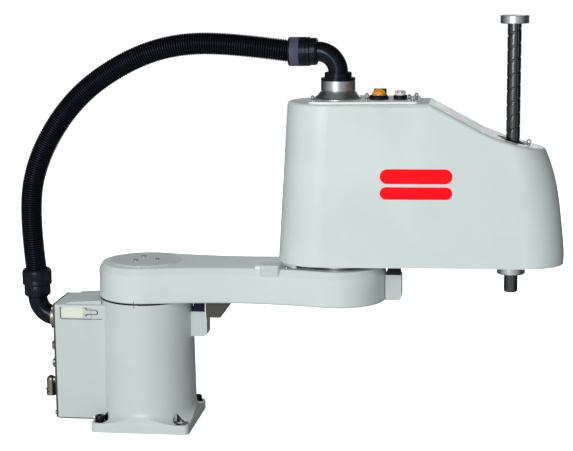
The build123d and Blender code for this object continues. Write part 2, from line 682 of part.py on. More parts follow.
def user_panel():
    """The thin plate round the hub that carries the lamp, the button and the socket."""
    outline = cover_outline(COVER_SECTIONS[-1], USER_PANEL_MARGIN)
    panel = extrude(at(0, 0, COVER_TOP) * outline, USER_PANEL_THICKNESS)
    panel &= block(*USER_PANEL_X, -90, 90, COVER_TOP, USER_PANEL_TOP)
    panel = fillet(panel.edges().filter_by(Axis.Z), 5)
    panel -= rod(HUB_FOOT_R + 0.3, COVER_TOP - 1, USER_PANEL_TOP + 1, SECOND_AXIS)
    for x, y, hole_r in PANEL_ITEMS.values():
        panel -= rod(hole_r + 0.1, COVER_TOP - 1, USER_PANEL_TOP + 1, x, y)
    for x, y in USER_PANEL_SCREWS:
        panel -= rod(1.7, COVER_TOP - 1, USER_PANEL_TOP + 1, x, y)
    return panel


def user_panel_screws():
    return compound(cap_screw(x, y, USER_PANEL_TOP, 2.8, 1.6, 1.5, USER_PANEL_THICKNESS)
                    for x, y in USER_PANEL_SCREWS)


def lamp_bezel():
    x, y, stem_r = PANEL_ITEMS["lamp"]
    seat = USER_PANEL_TOP
    top = seat + LAMP_BEZEL_HEIGHT
    bezel = turned([(0, seat), (14, seat), (14, top - 2.5), (12.5, top), (0, top)], x, y)
    return bezel + rod(stem_r, COVER_TOP - 14, seat, x, y)


def lamp_dome():
    x, y, _ = PANEL_ITEMS["lamp"]
    base = USER_PANEL_TOP + LAMP_BEZEL_HEIGHT
    ball = at(x, y, base - 1) * Sphere(10.5)
    return ball & rod(9.8, base, base + 12, x, y)


def button_bezel():
    x, y, stem_r = PANEL_ITEMS["button"]
    bezel = rod(10, USER_PANEL_TOP, USER_PANEL_TOP + BUTTON_BEZEL_HEIGHT, x, y)
    bezel = chamfer(bezel.faces().sort_by(Axis.Z)[-1].edges(), 1)
    bezel += rod(stem_r, COVER_TOP - 14, USER_PANEL_TOP, x, y)
    return bezel - rod(8, USER_PANEL_TOP + 2, USER_PANEL_TOP + 10, x, y)


def button_cap():
    x, y, _ = PANEL_ITEMS["button"]
    cap = rod(7.6, USER_PANEL_TOP + 2 + BUTTON_TRAVEL + 0.5, BUTTON_TOP, x, y)
    return fillet(cap.faces().sort_by(Axis.Z)[-1].edges(), 1.5)


def panel_socket():
    x, y, stem_r = PANEL_ITEMS["socket"]
    top = USER_PANEL_TOP + SOCKET_HEIGHT
    body = block(x - 9, x + 9, y - 7, y + 7, USER_PANEL_TOP, top)
    body -= block(x - 7, x + 7, y - 5, y + 5, top - 6, top + 1)
    return body + rod(stem_r, COVER_TOP - 14, USER_PANEL_TOP, x, y)


def tie_eyes():
    eyes = []
    for x, y, seat, ring_r, turn in TIE_EYES:
        ring = at(x, y, seat + ring_r + 2.5) * Rot(0, 0, turn) * Rot(90, 0, 0) * Torus(ring_r, EYE_WIRE_R)
        eyes.append(ring + rod(EYE_WIRE_R + 0.6, seat, seat + 2.2, x, y))
    return compound(eyes)


def outer_arm_frame():
    """The cast floor of the outer arm with its bosses and, underneath, its stop rail."""
    rear_r = COVER_REAR_R[0] - COVER_WALL - FRAME_GAP
    front_r = COVER_SECTIONS[0][3] - COVER_WALL - FRAME_GAP
    outline = tapered_slot(COVER_SECTIONS[0][1] + COVER_REAR_R[0], rear_r,
                           COVER_SECTIONS[0][2] - COVER_SECTIONS[0][3], front_r)
    frame = extrude(at(0, 0, FRAME_BOTTOM) * outline, FRAME_THICKNESS)
    frame += rod(44, FRAME_TOP, FRAME_TOP + 6, SECOND_AXIS)
    frame += rod(33, FRAME_TOP, FRAME_TOP + 8, SHAFT_X)
    frame -= rod(CABLE_HOLE_R, FRAME_BOTTOM - 1, FRAME_TOP + 7, SECOND_AXIS)
    frame -= rod(BEARING_R[1], FRAME_BOTTOM - 1, FRAME_TOP + 9, SHAFT_X)
    rail = tube(STOP_RAIL_R[1], STOP_RAIL_R[0], ARM_TOP + 1.1, FRAME_BOTTOM, SECOND_AXIS)
    rail &= extrude(at(0, 0, ARM_TOP) * outline, FRAME_TOP - ARM_TOP)
    half = STOP_RAIL_HALF_ANGLE
    keep = [at(SECOND_AXIS, 0, 0) * Rot(0, 0, 180 + side * half / 2) * wedge(half) for side in (-1, 1)]
    return frame + (rail & (keep[0] + keep[1]))


def wedge(angle):
    """A tall pie slice from the upright axis, centred on +X."""
    half = math.radians(angle / 2 + 0.5)
    far = 140.0
    points = [(0, 0), (far, -far * math.tan(half)), (far, far * math.tan(half))]
    return extrude(at(0, 0, 200) * make_face(Polyline(*points, close=True)), 100)


def j2_output_flange():
    flange = rod(OUTPUT_FLANGE_R, ARM_TOP - 26, FRAME_BOTTOM, SECOND_AXIS)
    return flange - rod(CABLE_HOLE_R, ARM_TOP - 30, FRAME_BOTTOM + 1, SECOND_AXIS)


def square_motor(x, y, bottom, top, shaft_end):
    """A square servo motor with a round encoder cap at the end away from its shaft."""
    side, cap_r = MOTOR_SIDE, MOTOR_SIDE * 0.4
    body = extrude(at(x, y, bottom) * RectangleRounded(side, side, side / 9), top - bottom)
    if shaft_end > top:
        cap = rod(cap_r, bottom - 14, bottom, x, y)
        shaft = rod(MOTOR_SHAFT_R, top, shaft_end, x, y)
    else:
        cap = rod(cap_r, top, top + 14, x, y)
        shaft = rod(MOTOR_SHAFT_R, shaft_end, bottom, x, y)
    return body + cap + shaft


def j2_motor():
    x = SECOND_AXIS
    flange = extrude(at(x, 0, FRAME_TOP + 6) * RectangleRounded(66, 66, 6), 8)
    body = extrude(at(x, 0, FRAME_TOP + 14) * RectangleRounded(60, 60, 7), 96)
    encoder = rod(24, FRAME_TOP + 110, FRAME_TOP + 130, x)
    shaft = rod(7, FRAME_TOP - 30, FRAME_TOP + 6, x)
    return flange + body + encoder + shaft


def z_motor():
    return square_motor(*Z_MOTOR, 288, Z_BELT_Z[0] - BRACKET_GAP, Z_BELT_Z[1] + 3)


def r_motor():
    return square_motor(*R_MOTOR, R_BELT_Z[1] + BRACKET_GAP, 412, R_BELT_Z[0] - 3)


def motor_plate(place, bottom, wall_x):
    """A plate that holds a motor by its face, on one upright wall."""
    x, y = place
    plate = block(x - 24, x + 22, y - 22, y + 22, bottom, bottom + BRACKET_PLATE)
    plate -= rod(9, bottom - 1, bottom + BRACKET_PLATE + 1, x, y)
    wall = block(wall_x, wall_x + 5, y - 22, y + 22, FRAME_TOP, bottom + BRACKET_PLATE)
    return plate + wall


def z_motor_bracket():
    return motor_plate(Z_MOTOR, Z_BELT_Z[0] - BRACKET_GAP, Z_MOTOR[0] - 27)


def r_motor_bracket():
    return motor_plate(R_MOTOR, R_BELT_Z[1] + BRACKET_GAP - BRACKET_PLATE, R_MOTOR[0] - 27)


def shaft_bracket():
    """The upright bracket that carries the ball-screw nut's bearing above the belts."""
    arch = block(SHAFT_X - 45, SHAFT_X + 32, -33, 33, *UPPER_BEARING_Z)
    arch = fillet(arch.edges().filter_by(Axis.Z).sort_by(Axis.X)[-2:], 20)
    arch += block(SHAFT_X - 45, SHAFT_X - 33, -49, 49, *UPPER_BEARING_Z)
    arch -= rod(BEARING_R[1], UPPER_BEARING_Z[0] - 1, UPPER_BEARING_Z[1] + 1, SHAFT_X)
    for side in (-1, 1):
        arch += block(SHAFT_X - 45, SHAFT_X - 33, side * 46 - 3, side * 46 + 3, FRAME_TOP, UPPER_BEARING_Z[1])
    return arch


def bearing(bottom, top):
    """A thin-section ball bearing: two race rings with a filled ball track between them."""
    inner, outer = BEARING_R
    outer_ring = tube(outer - 0.05, outer - 1.8, bottom, top, SHAFT_X)
    track = tube(outer - 1.8, outer - 2.4, bottom + 1.5, top - 1.5, SHAFT_X)
    return outer_ring + track


def toothed_ring(outer_r, z, x, y, flange=2.0):
    """A flanged timing pulley's rim."""
    bottom, top = z
    rim = rod(outer_r, bottom - 0.5, top + 0.5, x, y)
    for low, high in ((bottom - 2, bottom - 0.5), (top + 0.5, top + 2)):
        rim += rod(outer_r + flange, low, high, x, y)
    return rim


def nut_body(bottom, top, shoulder_z):
    """A shaft nut: a barrel that turns in its bearing and a shoulder that rests on it."""
    barrel = rod(BEARING_R[0] - 0.1, bottom, top, SHAFT_X)
    shoulder = rod(BEARING_R[0] + 2.5, *shoulder_z, SHAFT_X)
    return barrel + shoulder - rod(SHAFT_R + RUNNING_FIT, bottom - 5, top + 5, SHAFT_X)


def spline_nut():
    return nut_body(FRAME_BOTTOM + 1, SPLINE_NUT_TOP, (FRAME_TOP + 9, FRAME_TOP + 13))


def screw_nut():
    return nut_body(*SCREW_NUT_Z, (UPPER_BEARING_Z[1] + 1, UPPER_BEARING_Z[1] + 5))


def nut_inner_race(bottom, top):
    return tube(BEARING_R[1] - 2.8, BEARING_R[0] - 0.1, bottom, top, SHAFT_X)


def nut_pulley(z):
    return toothed_ring(NUT_PULLEY_R, z, SHAFT_X, 0) - rod(BEARING_R[0] - 0.1, z[0] - 5, z[1] + 5, SHAFT_X)


def motor_pulley(z, place):
    bore = rod(MOTOR_SHAFT_R + RUNNING_FIT, z[0] - 5, z[1] + 5, *place)
    return toothed_ring(MOTOR_PULLEY_R, z, *place) - bore


def belt(z, place):
    """A closed toothed belt round the motor's pulley and the nut's pulley."""
    x, y = place
    reach = math.hypot(SHAFT_X - x, y)
    turn = math.degrees(math.atan2(-y, SHAFT_X - x))
    small_r, large_r = MOTOR_PULLEY_R + BELT_GAP, NUT_PULLEY_R + BELT_GAP
    inner = tapered_slot(-reach, small_r, 0, large_r)
    outer = tapered_slot(-reach, small_r + BELT_THICKNESS, 0, large_r + BELT_THICKNESS)
    loop = extrude(outer - inner, z[1] - z[0])
    return at(SHAFT_X, 0, z[0]) * Rot(0, 0, turn) * loop


# ---------------------------------------------------------------- hub, hose swivel and shaft
def hub():
    """The turned hub on top of the cover, coaxial with the second axis."""
    foot = COVER_TOP
    profile = [(HUB_BORE_R, foot), (HUB_FOOT_R, foot), (HUB_FOOT_R, foot + 4), (HUB_FOOT_R - 2.5, foot + 5.5),
               (HUB_R + 1.5, foot + 13), (HUB_R - 1, foot + 14), (HUB_R, foot + 15.5), (HUB_R, HUB_TOP - 0.6),
               (HUB_R - 0.6, HUB_TOP), (HUB_BORE_R, HUB_TOP)]
    return turned(profile, SECOND_AXIS)


def elbow_flange():
    """The black flange that turns on the hub: a lip, a collar and a spigot inside the hub."""
    bottom = HUB_TOP + OPEN_GAP
    bore, spigot_r = UPPER_ELBOW_BORE_R, HUB_BORE_R - OPEN_GAP
    collar_r, top = ELBOW_FLANGE_R, ELBOW_FLANGE_TOP
    profile = [(bore, HUB_TOP - 18), (spigot_r, HUB_TOP - 18), (spigot_r, bottom), (HUB_R, bottom),
               (HUB_R, ELBOW_LIP_TOP), (collar_r, ELBOW_LIP_TOP), (collar_r, top - 0.8),
               (collar_r - 0.8, top), (bore, top)]
    return turned(profile, SECOND_AXIS)


def upper_elbow():
    """The smooth elbow from the hub into the upper coupling."""
    start_z = ELBOW_FLANGE_TOP
    x, bend = SECOND_AXIS, UPPER_ELBOW_BEND
    middle = bend * math.cos(math.radians(45))
    path = ThreePointArc((x, 0, start_z), (x - bend + middle, 0, start_z + middle),
                         (x - bend, 0, start_z + bend))
    ring = Circle(ELBOW_TUBE_R) - Circle(UPPER_ELBOW_BORE_R)
    return sweep(Plane(origin=(x, 0, start_z), z_dir=(0, 0, 1)) * ring, path)


def turned_about_x(profile, x, z):
    """A solid of revolution about a line along X, from (distance along X, radius) corners."""
    outline = make_face(Polyline(*[(along, 0, r) for along, r in profile], close=True))
    return at(x, 0, z) * revolve(outline, Axis.X)


def upper_coupling():
    """The coupling between the elbow and the hose, with a narrower collar at the elbow."""
    z = ELBOW_FLANGE_TOP + UPPER_ELBOW_BEND
    elbow_end = SECOND_AXIS - UPPER_ELBOW_BEND
    bore, collar, nut, mouth = UPPER_ELBOW_BORE_R, COUPLING_COLLAR_R, COUPLING_R, COUPLING_MOUTH_R
    profile = [(0, bore), (0, collar - 3), (-2.5, collar), (-16, collar), (-17, nut), (-41, nut),
               (-43, nut - 1.5), (-43, mouth), (-34, mouth), (-34, bore)]
    return turned_about_x(profile, elbow_end, z)


def tool_shaft():
    """The hollow ball-screw spline shaft, with a groove that marks off its tool end."""
    shaft = rod(SHAFT_R, SHAFT_BOTTOM, SHAFT_TOP - 2, SHAFT_X)
    shaft = chamfer(shaft.faces().sort_by(Axis.Z)[0].edges(), SHAFT_CHAMFER)
    groove_bottom = SHAFT_BOTTOM + SHAFT_CHAMFER + TOOL_END_LENGTH
    shaft -= tube(SHAFT_R + 1, SHAFT_R - 0.7, groove_bottom, groove_bottom + 1.2, SHAFT_X)
    return shaft - rod(SHAFT_BORE_R, SHAFT_BOTTOM - 1, SHAFT_TOP + 1, SHAFT_X)


def upper_collar():
    """The stop collar clamped on the top of the shaft."""
    bottom = SHAFT_TOP - COLLAR_HEIGHT
    collar = rod(COLLAR_R, bottom, SHAFT_TOP, SHAFT_X)
    collar = chamfer(collar.edges().filter_by(GeomType.CIRCLE), 0.8)
    collar -= rod(SHAFT_R, bottom - 1, SHAFT_TOP - 2, SHAFT_X)
    collar -= rod(SHAFT_BORE_R, SHAFT_TOP - 3, SHAFT_TOP + 1, SHAFT_X)
    return collar - clamping_slit(bottom - 1, SHAFT_TOP - 2.5)


def clamping_slit(bottom, top):
    return block(SHAFT_X + SHAFT_R - 2, SHAFT_X + COLLAR_R + 1, -COLLAR_SLIT, COLLAR_SLIT, bottom, top)


def lower_collar():
    """The collar above the shaft's tool end, which stops the shaft at the top of its stroke."""
    bottom, top = LOWER_COLLAR_Z
    collar = tube(COLLAR_R, SHAFT_R, bottom, top, SHAFT_X)
    collar = chamfer(collar.faces().sort_by(Axis.Z)[0].edges().sort_by(SortBy.LENGTH)[-1], 0.8)
    return collar - clamping_slit(bottom - 1, top + 1)


# ---------------------------------------------------------------- all nodes
def build_nodes():
    nodes = {
        "base_casting": base_casting(),
        "rear_box": rear_box(),
        "rear_box_cap": rear_box_cap(),
        "side_covers": compound(side_cover(side) for side in (-1, 1)),
        "rear_panel": rear_panel(),
        "base_screws": compound([*panel_screws(), *side_screws(COLUMN_R + 20, BASE_STOP_SCREW_Z, 24)]),
        "air_fittings": compound(air_fitting(*place) for place in AIR_FITTING_PLACES),
        "elbow_fitting": elbow_fitting(),
        "power_connector": round_connector(*POWER_CONNECTOR, *POWER_CONNECTOR_PLACE),
        "signal_connector": round_connector(*SIGNAL_CONNECTOR, *SIGNAL_CONNECTOR_PLACE),
        "base_stop_bracket": base_stop_bracket(),
        "base_stop_buffer": rubber_buffer(COLUMN_R + 1, BASE_STOP_Z[1], BASE_BUFFER_TOP),
        "lower_elbow": lower_elbow(),
        "lower_elbow_nut": lower_elbow_nut(),
        "lower_coupling": lower_coupling(),
        "conduit_hose": hose_tube(),
        "j1_motor": j1_motor(),
        "j1_reducer": reducer(COLUMN_TOP - 3, 27),
        "inner_arm_casting": inner_arm_casting(),
        "inner_arm_underside_cover": underside_cover(),
        "first_axis_cap": first_axis_cap(),
        "first_axis_cap_screws": first_axis_cap_screws(),
        "j1_output_flange": j1_output_flange(),
        "cable_guard": cable_guard(),
        "zero_mark_block": zero_mark_block(),
        "arm_stop_bracket": arm_stop_bracket(),
        "arm_stop_screws": compound(side_screws(STOP_TIP_X + 19.5, ARM_STOP_SCREW_Z, 27)),
        "arm_stop_buffer": rubber_buffer(STOP_TIP_X + 1, ARM_STOP_Z[1], ARM_BUFFER_TOP),
        "j2_reducer": at(SECOND_AXIS, 0, 0) * reducer(ARM_TOP - 2, 32),
        "outer_arm_frame": outer_arm_frame(),
        "outer_arm_cover": outer_arm_cover(),
        "j2_output_flange": j2_output_flange(),
        "j2_motor": j2_motor(),
        "z_motor": z_motor(),
        "z_motor_bracket": z_motor_bracket(),
        "z_belt": belt(Z_BELT_Z, Z_MOTOR),
        "r_motor": r_motor(),
        "r_motor_bracket": r_motor_bracket(),
        "r_belt": belt(R_BELT_Z, R_MOTOR),
        "shaft_bracket": shaft_bracket(),
        "nut_bearings": compound([bearing(*LOWER_BEARING_Z), bearing(*UPPER_BEARING_Z)]),
        "user_panel": user_panel(),
        "user_panel_screws": user_panel_screws(),
        "lamp_bezel": lamp_bezel(),
        "lamp_dome": lamp_dome(),
        "button_bezel": button_bezel(),
        "panel_socket": panel_socket(),
        "tie_eyes": tie_eyes(),
        "conduit_hub": hub(),
        "brake_release_button": button_cap(),
        "elbow_flange": elbow_flange(),
        "upper_elbow": upper_elbow(),
        "upper_coupling": upper_coupling(),
        "spline_nut": spline_nut() + nut_inner_race(*LOWER_BEARING_Z) + nut_pulley(R_BELT_Z),
        "screw_nut": screw_nut() + nut_inner_race(*UPPER_BEARING_Z) + nut_pulley(Z_BELT_Z),
        "z_motor_pulley": motor_pulley(Z_BELT_Z, Z_MOTOR),
        "r_motor_pulley": motor_pulley(R_BELT_Z, R_MOTOR),
        "tool_shaft": tool_shaft(),
        "upper_collar": upper_collar(),
        "lower_collar": lower_collar(),
    }
    return nodes


os.makedirs("parts", exist_ok=True)
nodes = build_nodes()
print(len(nodes), "nodes")
for name, shape in nodes.items():
    export_step(shape, f"parts/{name}.step")
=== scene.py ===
import json
import math

import bpy
from mathutils import Matrix, Vector
from mathutils.bvhtree import BVHTree


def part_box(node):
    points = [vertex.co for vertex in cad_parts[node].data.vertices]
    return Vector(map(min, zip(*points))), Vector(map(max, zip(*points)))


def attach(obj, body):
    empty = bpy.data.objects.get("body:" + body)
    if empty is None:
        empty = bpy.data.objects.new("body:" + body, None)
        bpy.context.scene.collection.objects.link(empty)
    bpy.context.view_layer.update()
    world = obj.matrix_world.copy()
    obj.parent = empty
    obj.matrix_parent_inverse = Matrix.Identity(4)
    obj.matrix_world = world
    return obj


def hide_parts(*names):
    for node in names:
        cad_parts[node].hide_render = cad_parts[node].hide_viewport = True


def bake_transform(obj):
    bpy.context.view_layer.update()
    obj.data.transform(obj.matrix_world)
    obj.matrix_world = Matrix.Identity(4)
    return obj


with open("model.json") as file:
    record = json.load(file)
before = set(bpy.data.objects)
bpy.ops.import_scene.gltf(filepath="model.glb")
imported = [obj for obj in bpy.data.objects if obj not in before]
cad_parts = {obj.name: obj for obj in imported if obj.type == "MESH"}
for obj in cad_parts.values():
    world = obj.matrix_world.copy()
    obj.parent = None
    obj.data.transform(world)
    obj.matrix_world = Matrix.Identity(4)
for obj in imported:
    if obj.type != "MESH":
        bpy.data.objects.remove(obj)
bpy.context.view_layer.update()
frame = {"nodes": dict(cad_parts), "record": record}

MM = 0.001
TURN = 2 * math.pi
ALMOST_NOTHING = 0.1 * MM        # radius at the middle of a turned end


# ---------------------------------------------------------------- places read from the frame
def low_of(node):
    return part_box(node)[0]


def high_of(node):
    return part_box(node)[1]


def centre_of(node):
    return (low_of(node) + high_of(node)) / 2


SHAFT_X = centre_of("tool_shaft").x
SHAFT_R = high_of("tool_shaft").x - SHAFT_X
PLATE_TOP = 14.5 * MM            # of the base plate
BOLT_PLACE = 60 * MM             # the base holes' distance from the axis, along X and along Y
PANEL_X = low_of("rear_panel").x
BOX_SIDE_Y = low_of("rear_box").y
COLUMN_TOP = high_of("base_casting").z
ARM_BOTTOM = low_of("inner_arm_casting").z
ARM_TOP = high_of("inner_arm_casting").z
USER_PANEL_TOP = high_of("user_panel").z


# ---------------------------------------------------------------- camera, lights and floor
CAMERA_PLACE = (0.52499, -2.27649, 0.71517)
CAMERA_YAW = math.radians(7.72)
CAMERA_PITCH = math.radians(10.05)
CAMERA_ROLL = math.radians(-0.55)
CAMERA_LENS = 97.87
SENSOR_WIDTH = 36
WORLD_LEAN = (-0.25, -0.94, -0.2)        # towards the brightest part of the surround
WORLD_STOPS = [(0.0, 0.17), (0.40, 0.05), (0.60, 0.38), (1.0, 1.05)]     # place, brightness
WORLD_STRENGTH = 0.7
FLOOR_HALF = 70.0
FLOOR_CENTRE_Y = 40.0
FLOOR_GLOW = 0.85
LIGHTS = [  # name, place, target, size, power, seen in reflections
    ("key_front", (-0.35, -2.7, 1.05), (0.25, 0, 0.3), (1.3, 1.5), 36, True),
    ("top_right", (0.45, 1.5, 2.1), (0.4, 0, 0.3), (1.4, 1.0), 14, False),
    ("back_glint", (0.78, 2.4, 0.88), (0.48, 0, 0.43), (0.5, 0.4), 1.3, True),
    ("fill_back", (-0.9, 2.6, 1.5), (0.3, 0, 0.3), (2.4, 1.6), 34, False),
]


def add_camera():
    """The camera stands in front of the arm, a little to its right, and looks slightly down."""
    yaw, pitch, roll = CAMERA_YAW, CAMERA_PITCH, CAMERA_ROLL
    forward = Vector((-math.sin(yaw) * math.cos(pitch), math.cos(yaw) * math.cos(pitch), -math.sin(pitch)))
    level_right = Vector((math.cos(yaw), math.sin(yaw), 0))
    level_up = level_right.cross(forward)
    right = level_right * math.cos(roll) + level_up * math.sin(roll)
    up = level_up * math.cos(roll) - level_right * math.sin(roll)
    data = bpy.data.cameras.new("camera")
    data.sensor_width = SENSOR_WIDTH
    data.lens = CAMERA_LENS
    data.clip_end = 300
    camera = bpy.data.objects.new("camera", data)
    bpy.context.collection.objects.link(camera)
    turn = Matrix((right, up, -forward)).transposed().to_4x4()
    camera.matrix_world = Matrix.Translation(CAMERA_PLACE) @ turn
    bpy.context.scene.camera = camera


def add_area_light(name, place, target, size, power, in_reflections):
    data = bpy.data.lights.new(name, "AREA")
    data.shape = "RECTANGLE"
    data.size, data.size_y = size
    data.energy = power
    light = bpy.data.objects.new(name, data)
    bpy.context.collection.objects.link(light)
    light.location = place
    light.rotation_euler = (Vector(target) - Vector(place)).to_track_quat("-Z", "Y").to_euler()
    light.visible_glossy = in_reflections


def add_world():
    """A soft studio surround: brightest in front, dimmer overhead, behind and on the right."""
    world = bpy.data.worlds.new("studio")
    world.use_nodes = True
    bpy.context.scene.world = world
    nodes, links = world.node_tree.nodes, world.node_tree.links
    coords = nodes.new("ShaderNodeTexCoord")
    lean = nodes.new("ShaderNodeVectorMath")
    lean.operation = "DOT_PRODUCT"
    lean.inputs[1].default_value = Vector(WORLD_LEAN).normalized()
    links.new(coords.outputs["Generated"], lean.inputs[0])
    span = nodes.new("ShaderNodeMapRange")
    span.inputs["From Min"].default_value = -1.0
    span.inputs["From Max"].default_value = 1.0
    links.new(lean.outputs["Value"], span.inputs["Value"])
    ramp = nodes.new("ShaderNodeValToRGB")
    links.new(span.outputs["Result"], ramp.inputs["Fac"])
    links.new(ramp.outputs["Color"], nodes["Background"].inputs["Color"])
    while len(ramp.color_ramp.elements) < len(WORLD_STOPS):
        ramp.color_ramp.elements.new(0.5)
    for element, (position, level) in zip(ramp.color_ramp.elements, WORLD_STOPS):
        element.position = position
        element.color = (level * 0.985, level, level * 0.99, 1)
    nodes["Background"].inputs["Strength"].default_value = WORLD_STRENGTH


def add_floor():
    """White paper under and far behind the object, lit from within like a light table."""
    near, far = FLOOR_CENTRE_Y - FLOOR_HALF, FLOOR_CENTRE_Y + FLOOR_HALF
    corners = [(-FLOOR_HALF, near, 0), (FLOOR_HALF, near, 0), (FLOOR_HALF, far, 0), (-FLOOR_HALF, far, 0)]
    mesh = bpy.data.meshes.new("studio_floor")
    mesh.from_pydata(corners, [], [(0, 1, 2, 3)])
    floor = bpy.data.objects.new("studio_floor", mesh)
    bpy.context.collection.objects.link(floor)
    material = bpy.data.materials.new("floor_paper")
    material.use_nodes = True
    shader = material.node_tree.nodes["Principled BSDF"]
    shader.inputs["Base Color"].default_value = (0.9, 0.9, 0.9, 1)
    shader.inputs["Roughness"].default_value = 1.0
    shader.inputs["Specular IOR Level"].default_value = 0.0
    shader.inputs["Emission Color"].default_value = (1, 1, 1, 1)
    shader.inputs["Emission Strength"].default_value = FLOOR_GLOW
    mesh.materials.append(material)
    floor.visible_diffuse = False
    floor.visible_glossy = False


def add_studio():
    add_camera()
    add_world()
    add_floor()
    for light in LIGHTS:
        add_area_light(*light)
    bpy.context.scene.view_settings.view_transform = "Standard"


# ---------------------------------------------------------------- material tools
class Paint:
    """One node material with its shader and shared object coordinates."""

    made = {}
    SOCKETS = {
        "coat": "Coat Weight",
        "coat_roughness": "Coat Roughness",
        "specular": "Specular IOR Level",
        "tint": "Specular Tint",
        "glow": "Emission Strength",
        "subsurface": "Subsurface Weight",
        "anisotropic": "Anisotropic",
    }

    def __init__(self, name, colour, roughness, metallic=0.0):
        self.material = bpy.data.materials.new(name)
        self.material.use_nodes = True
        self.made[name] = self.material
        self.nodes = self.material.node_tree.nodes
        self.links = self.material.node_tree.links
        self.shader = self.nodes["Principled BSDF"]
        self.shader.inputs["Base Color"].default_value = (*colour, 1)
        self.shader.inputs["Roughness"].default_value = roughness
        self.shader.inputs["Metallic"].default_value = metallic
        self.coords = self.nodes.new("ShaderNodeTexCoord")
        self.normal = None

    def noise(self, scale, detail=2.0, stretch=(1, 1, 1)):
        """Noise in object space, so that it stays the same size on every piece."""
        mapping = self.nodes.new("ShaderNodeMapping")
        mapping.inputs["Scale"].default_value = [scale * s for s in stretch]
        texture = self.nodes.new("ShaderNodeTexNoise")
        texture.inputs["Scale"].default_value = 1.0
        texture.inputs["Detail"].default_value = detail
        self.links.new(self.coords.outputs["Object"], mapping.inputs["Vector"])
        self.links.new(mapping.outputs["Vector"], texture.inputs["Vector"])
        return texture.outputs["Fac"]

    def ramp(self, value, stops):
        ramp = self.nodes.new("ShaderNodeValToRGB")
        self.links.new(value, ramp.inputs["Fac"])
        for element, (position, colour) in zip(ramp.color_ramp.elements, stops):
            element.position = position
            element.color = (*colour, 1)
        return ramp.outputs["Color"]

    def vary_colour(self, dark, light, scale, detail=3.0, stretch=(1, 1, 1)):
        mixed = self.ramp(self.noise(scale, detail, stretch), [(0.3, dark), (0.7, light)])
        self.links.new(mixed, self.shader.inputs["Base Color"])
        return self

    def vary_roughness(self, low, high, scale, detail=3.0, stretch=(1, 1, 1)):
        span = self.nodes.new("ShaderNodeMapRange")
        span.inputs["From Min"].default_value = 0.3
        span.inputs["From Max"].default_value = 0.7
        span.inputs["To Min"].default_value = low
        span.inputs["To Max"].default_value = high
        self.links.new(self.noise(scale, detail, stretch), span.inputs["Value"])
        self.links.new(span.outputs["Result"], self.shader.inputs["Roughness"])
        return self

    def bump(self, scale, height, strength=1.0, detail=2.0, stretch=(1, 1, 1)):
        """Fine surface relief; height is in metres."""
        node = self.nodes.new("ShaderNodeBump")
        node.inputs["Strength"].default_value = strength
        node.inputs["Distance"].default_value = height
        self.links.new(self.noise(scale, detail, stretch), node.inputs["Height"])
        if self.normal:
            self.links.new(self.normal, node.inputs["Normal"])
        self.normal = node.outputs["Normal"]
        self.links.new(self.normal, self.shader.inputs["Normal"])
        return self

    def set(self, **values):
        for key, value in values.items():
            self.shader.inputs[self.SOCKETS[key]].default_value = value
        return self


def tinted(colour, share):
    return tuple(min(1.0, c * share) for c in colour)


def lacquer(name, colour, roughness=0.38, coat=0.3):
    """Cool grey-white lacquer: faint orange peel and slow changes of tone."""
    paint = Paint(name, colour, roughness)
    paint.vary_colour(tinted(colour, 0.965), tinted(colour, 1.025), 14)
    paint.vary_roughness(roughness - 0.05, roughness + 0.07, 60)
    paint.bump(520, 0.00006, 0.35).bump(38, 0.00025, 0.2)
    paint.set(coat=coat, coat_roughness=0.2, specular=0.45)


def black_plastic(name, level, roughness, grain=900, coat=0.0):
    # The blue lean of the colour and the blue specular tint paint the bluish light that these black
    # surfaces reflect: a painted reflection colour.
    colour = (level, level * 1.02, level * 1.45)
    plastic = Paint(name, colour, roughness)
    plastic.vary_colour(tinted(colour, 0.8), tinted(colour, 1.35), 45)
    plastic.vary_roughness(max(0.05, roughness - 0.07), roughness + 0.1, 90)
    plastic.bump(grain, 0.00005, 0.4)
    plastic.set(coat=coat, coat_roughness=0.1, specular=0.3, tint=(0.5, 0.72, 1.0, 1))


def bare_metal(name, colour, roughness, stretch=(1, 1, 60), scale=25.0):
    """Machined metal, with fine tool marks across the stretched direction."""
    metal = Paint(name, colour, roughness, metallic=1.0)
    metal.vary_colour(tinted(colour, 0.86), tinted(colour, 1.08), scale, stretch=stretch)
    metal.vary_roughness(roughness - 0.06, roughness + 0.1, scale * 1.7, stretch=stretch)
    metal.bump(scale * 2, 0.00004, 0.35, stretch=stretch)


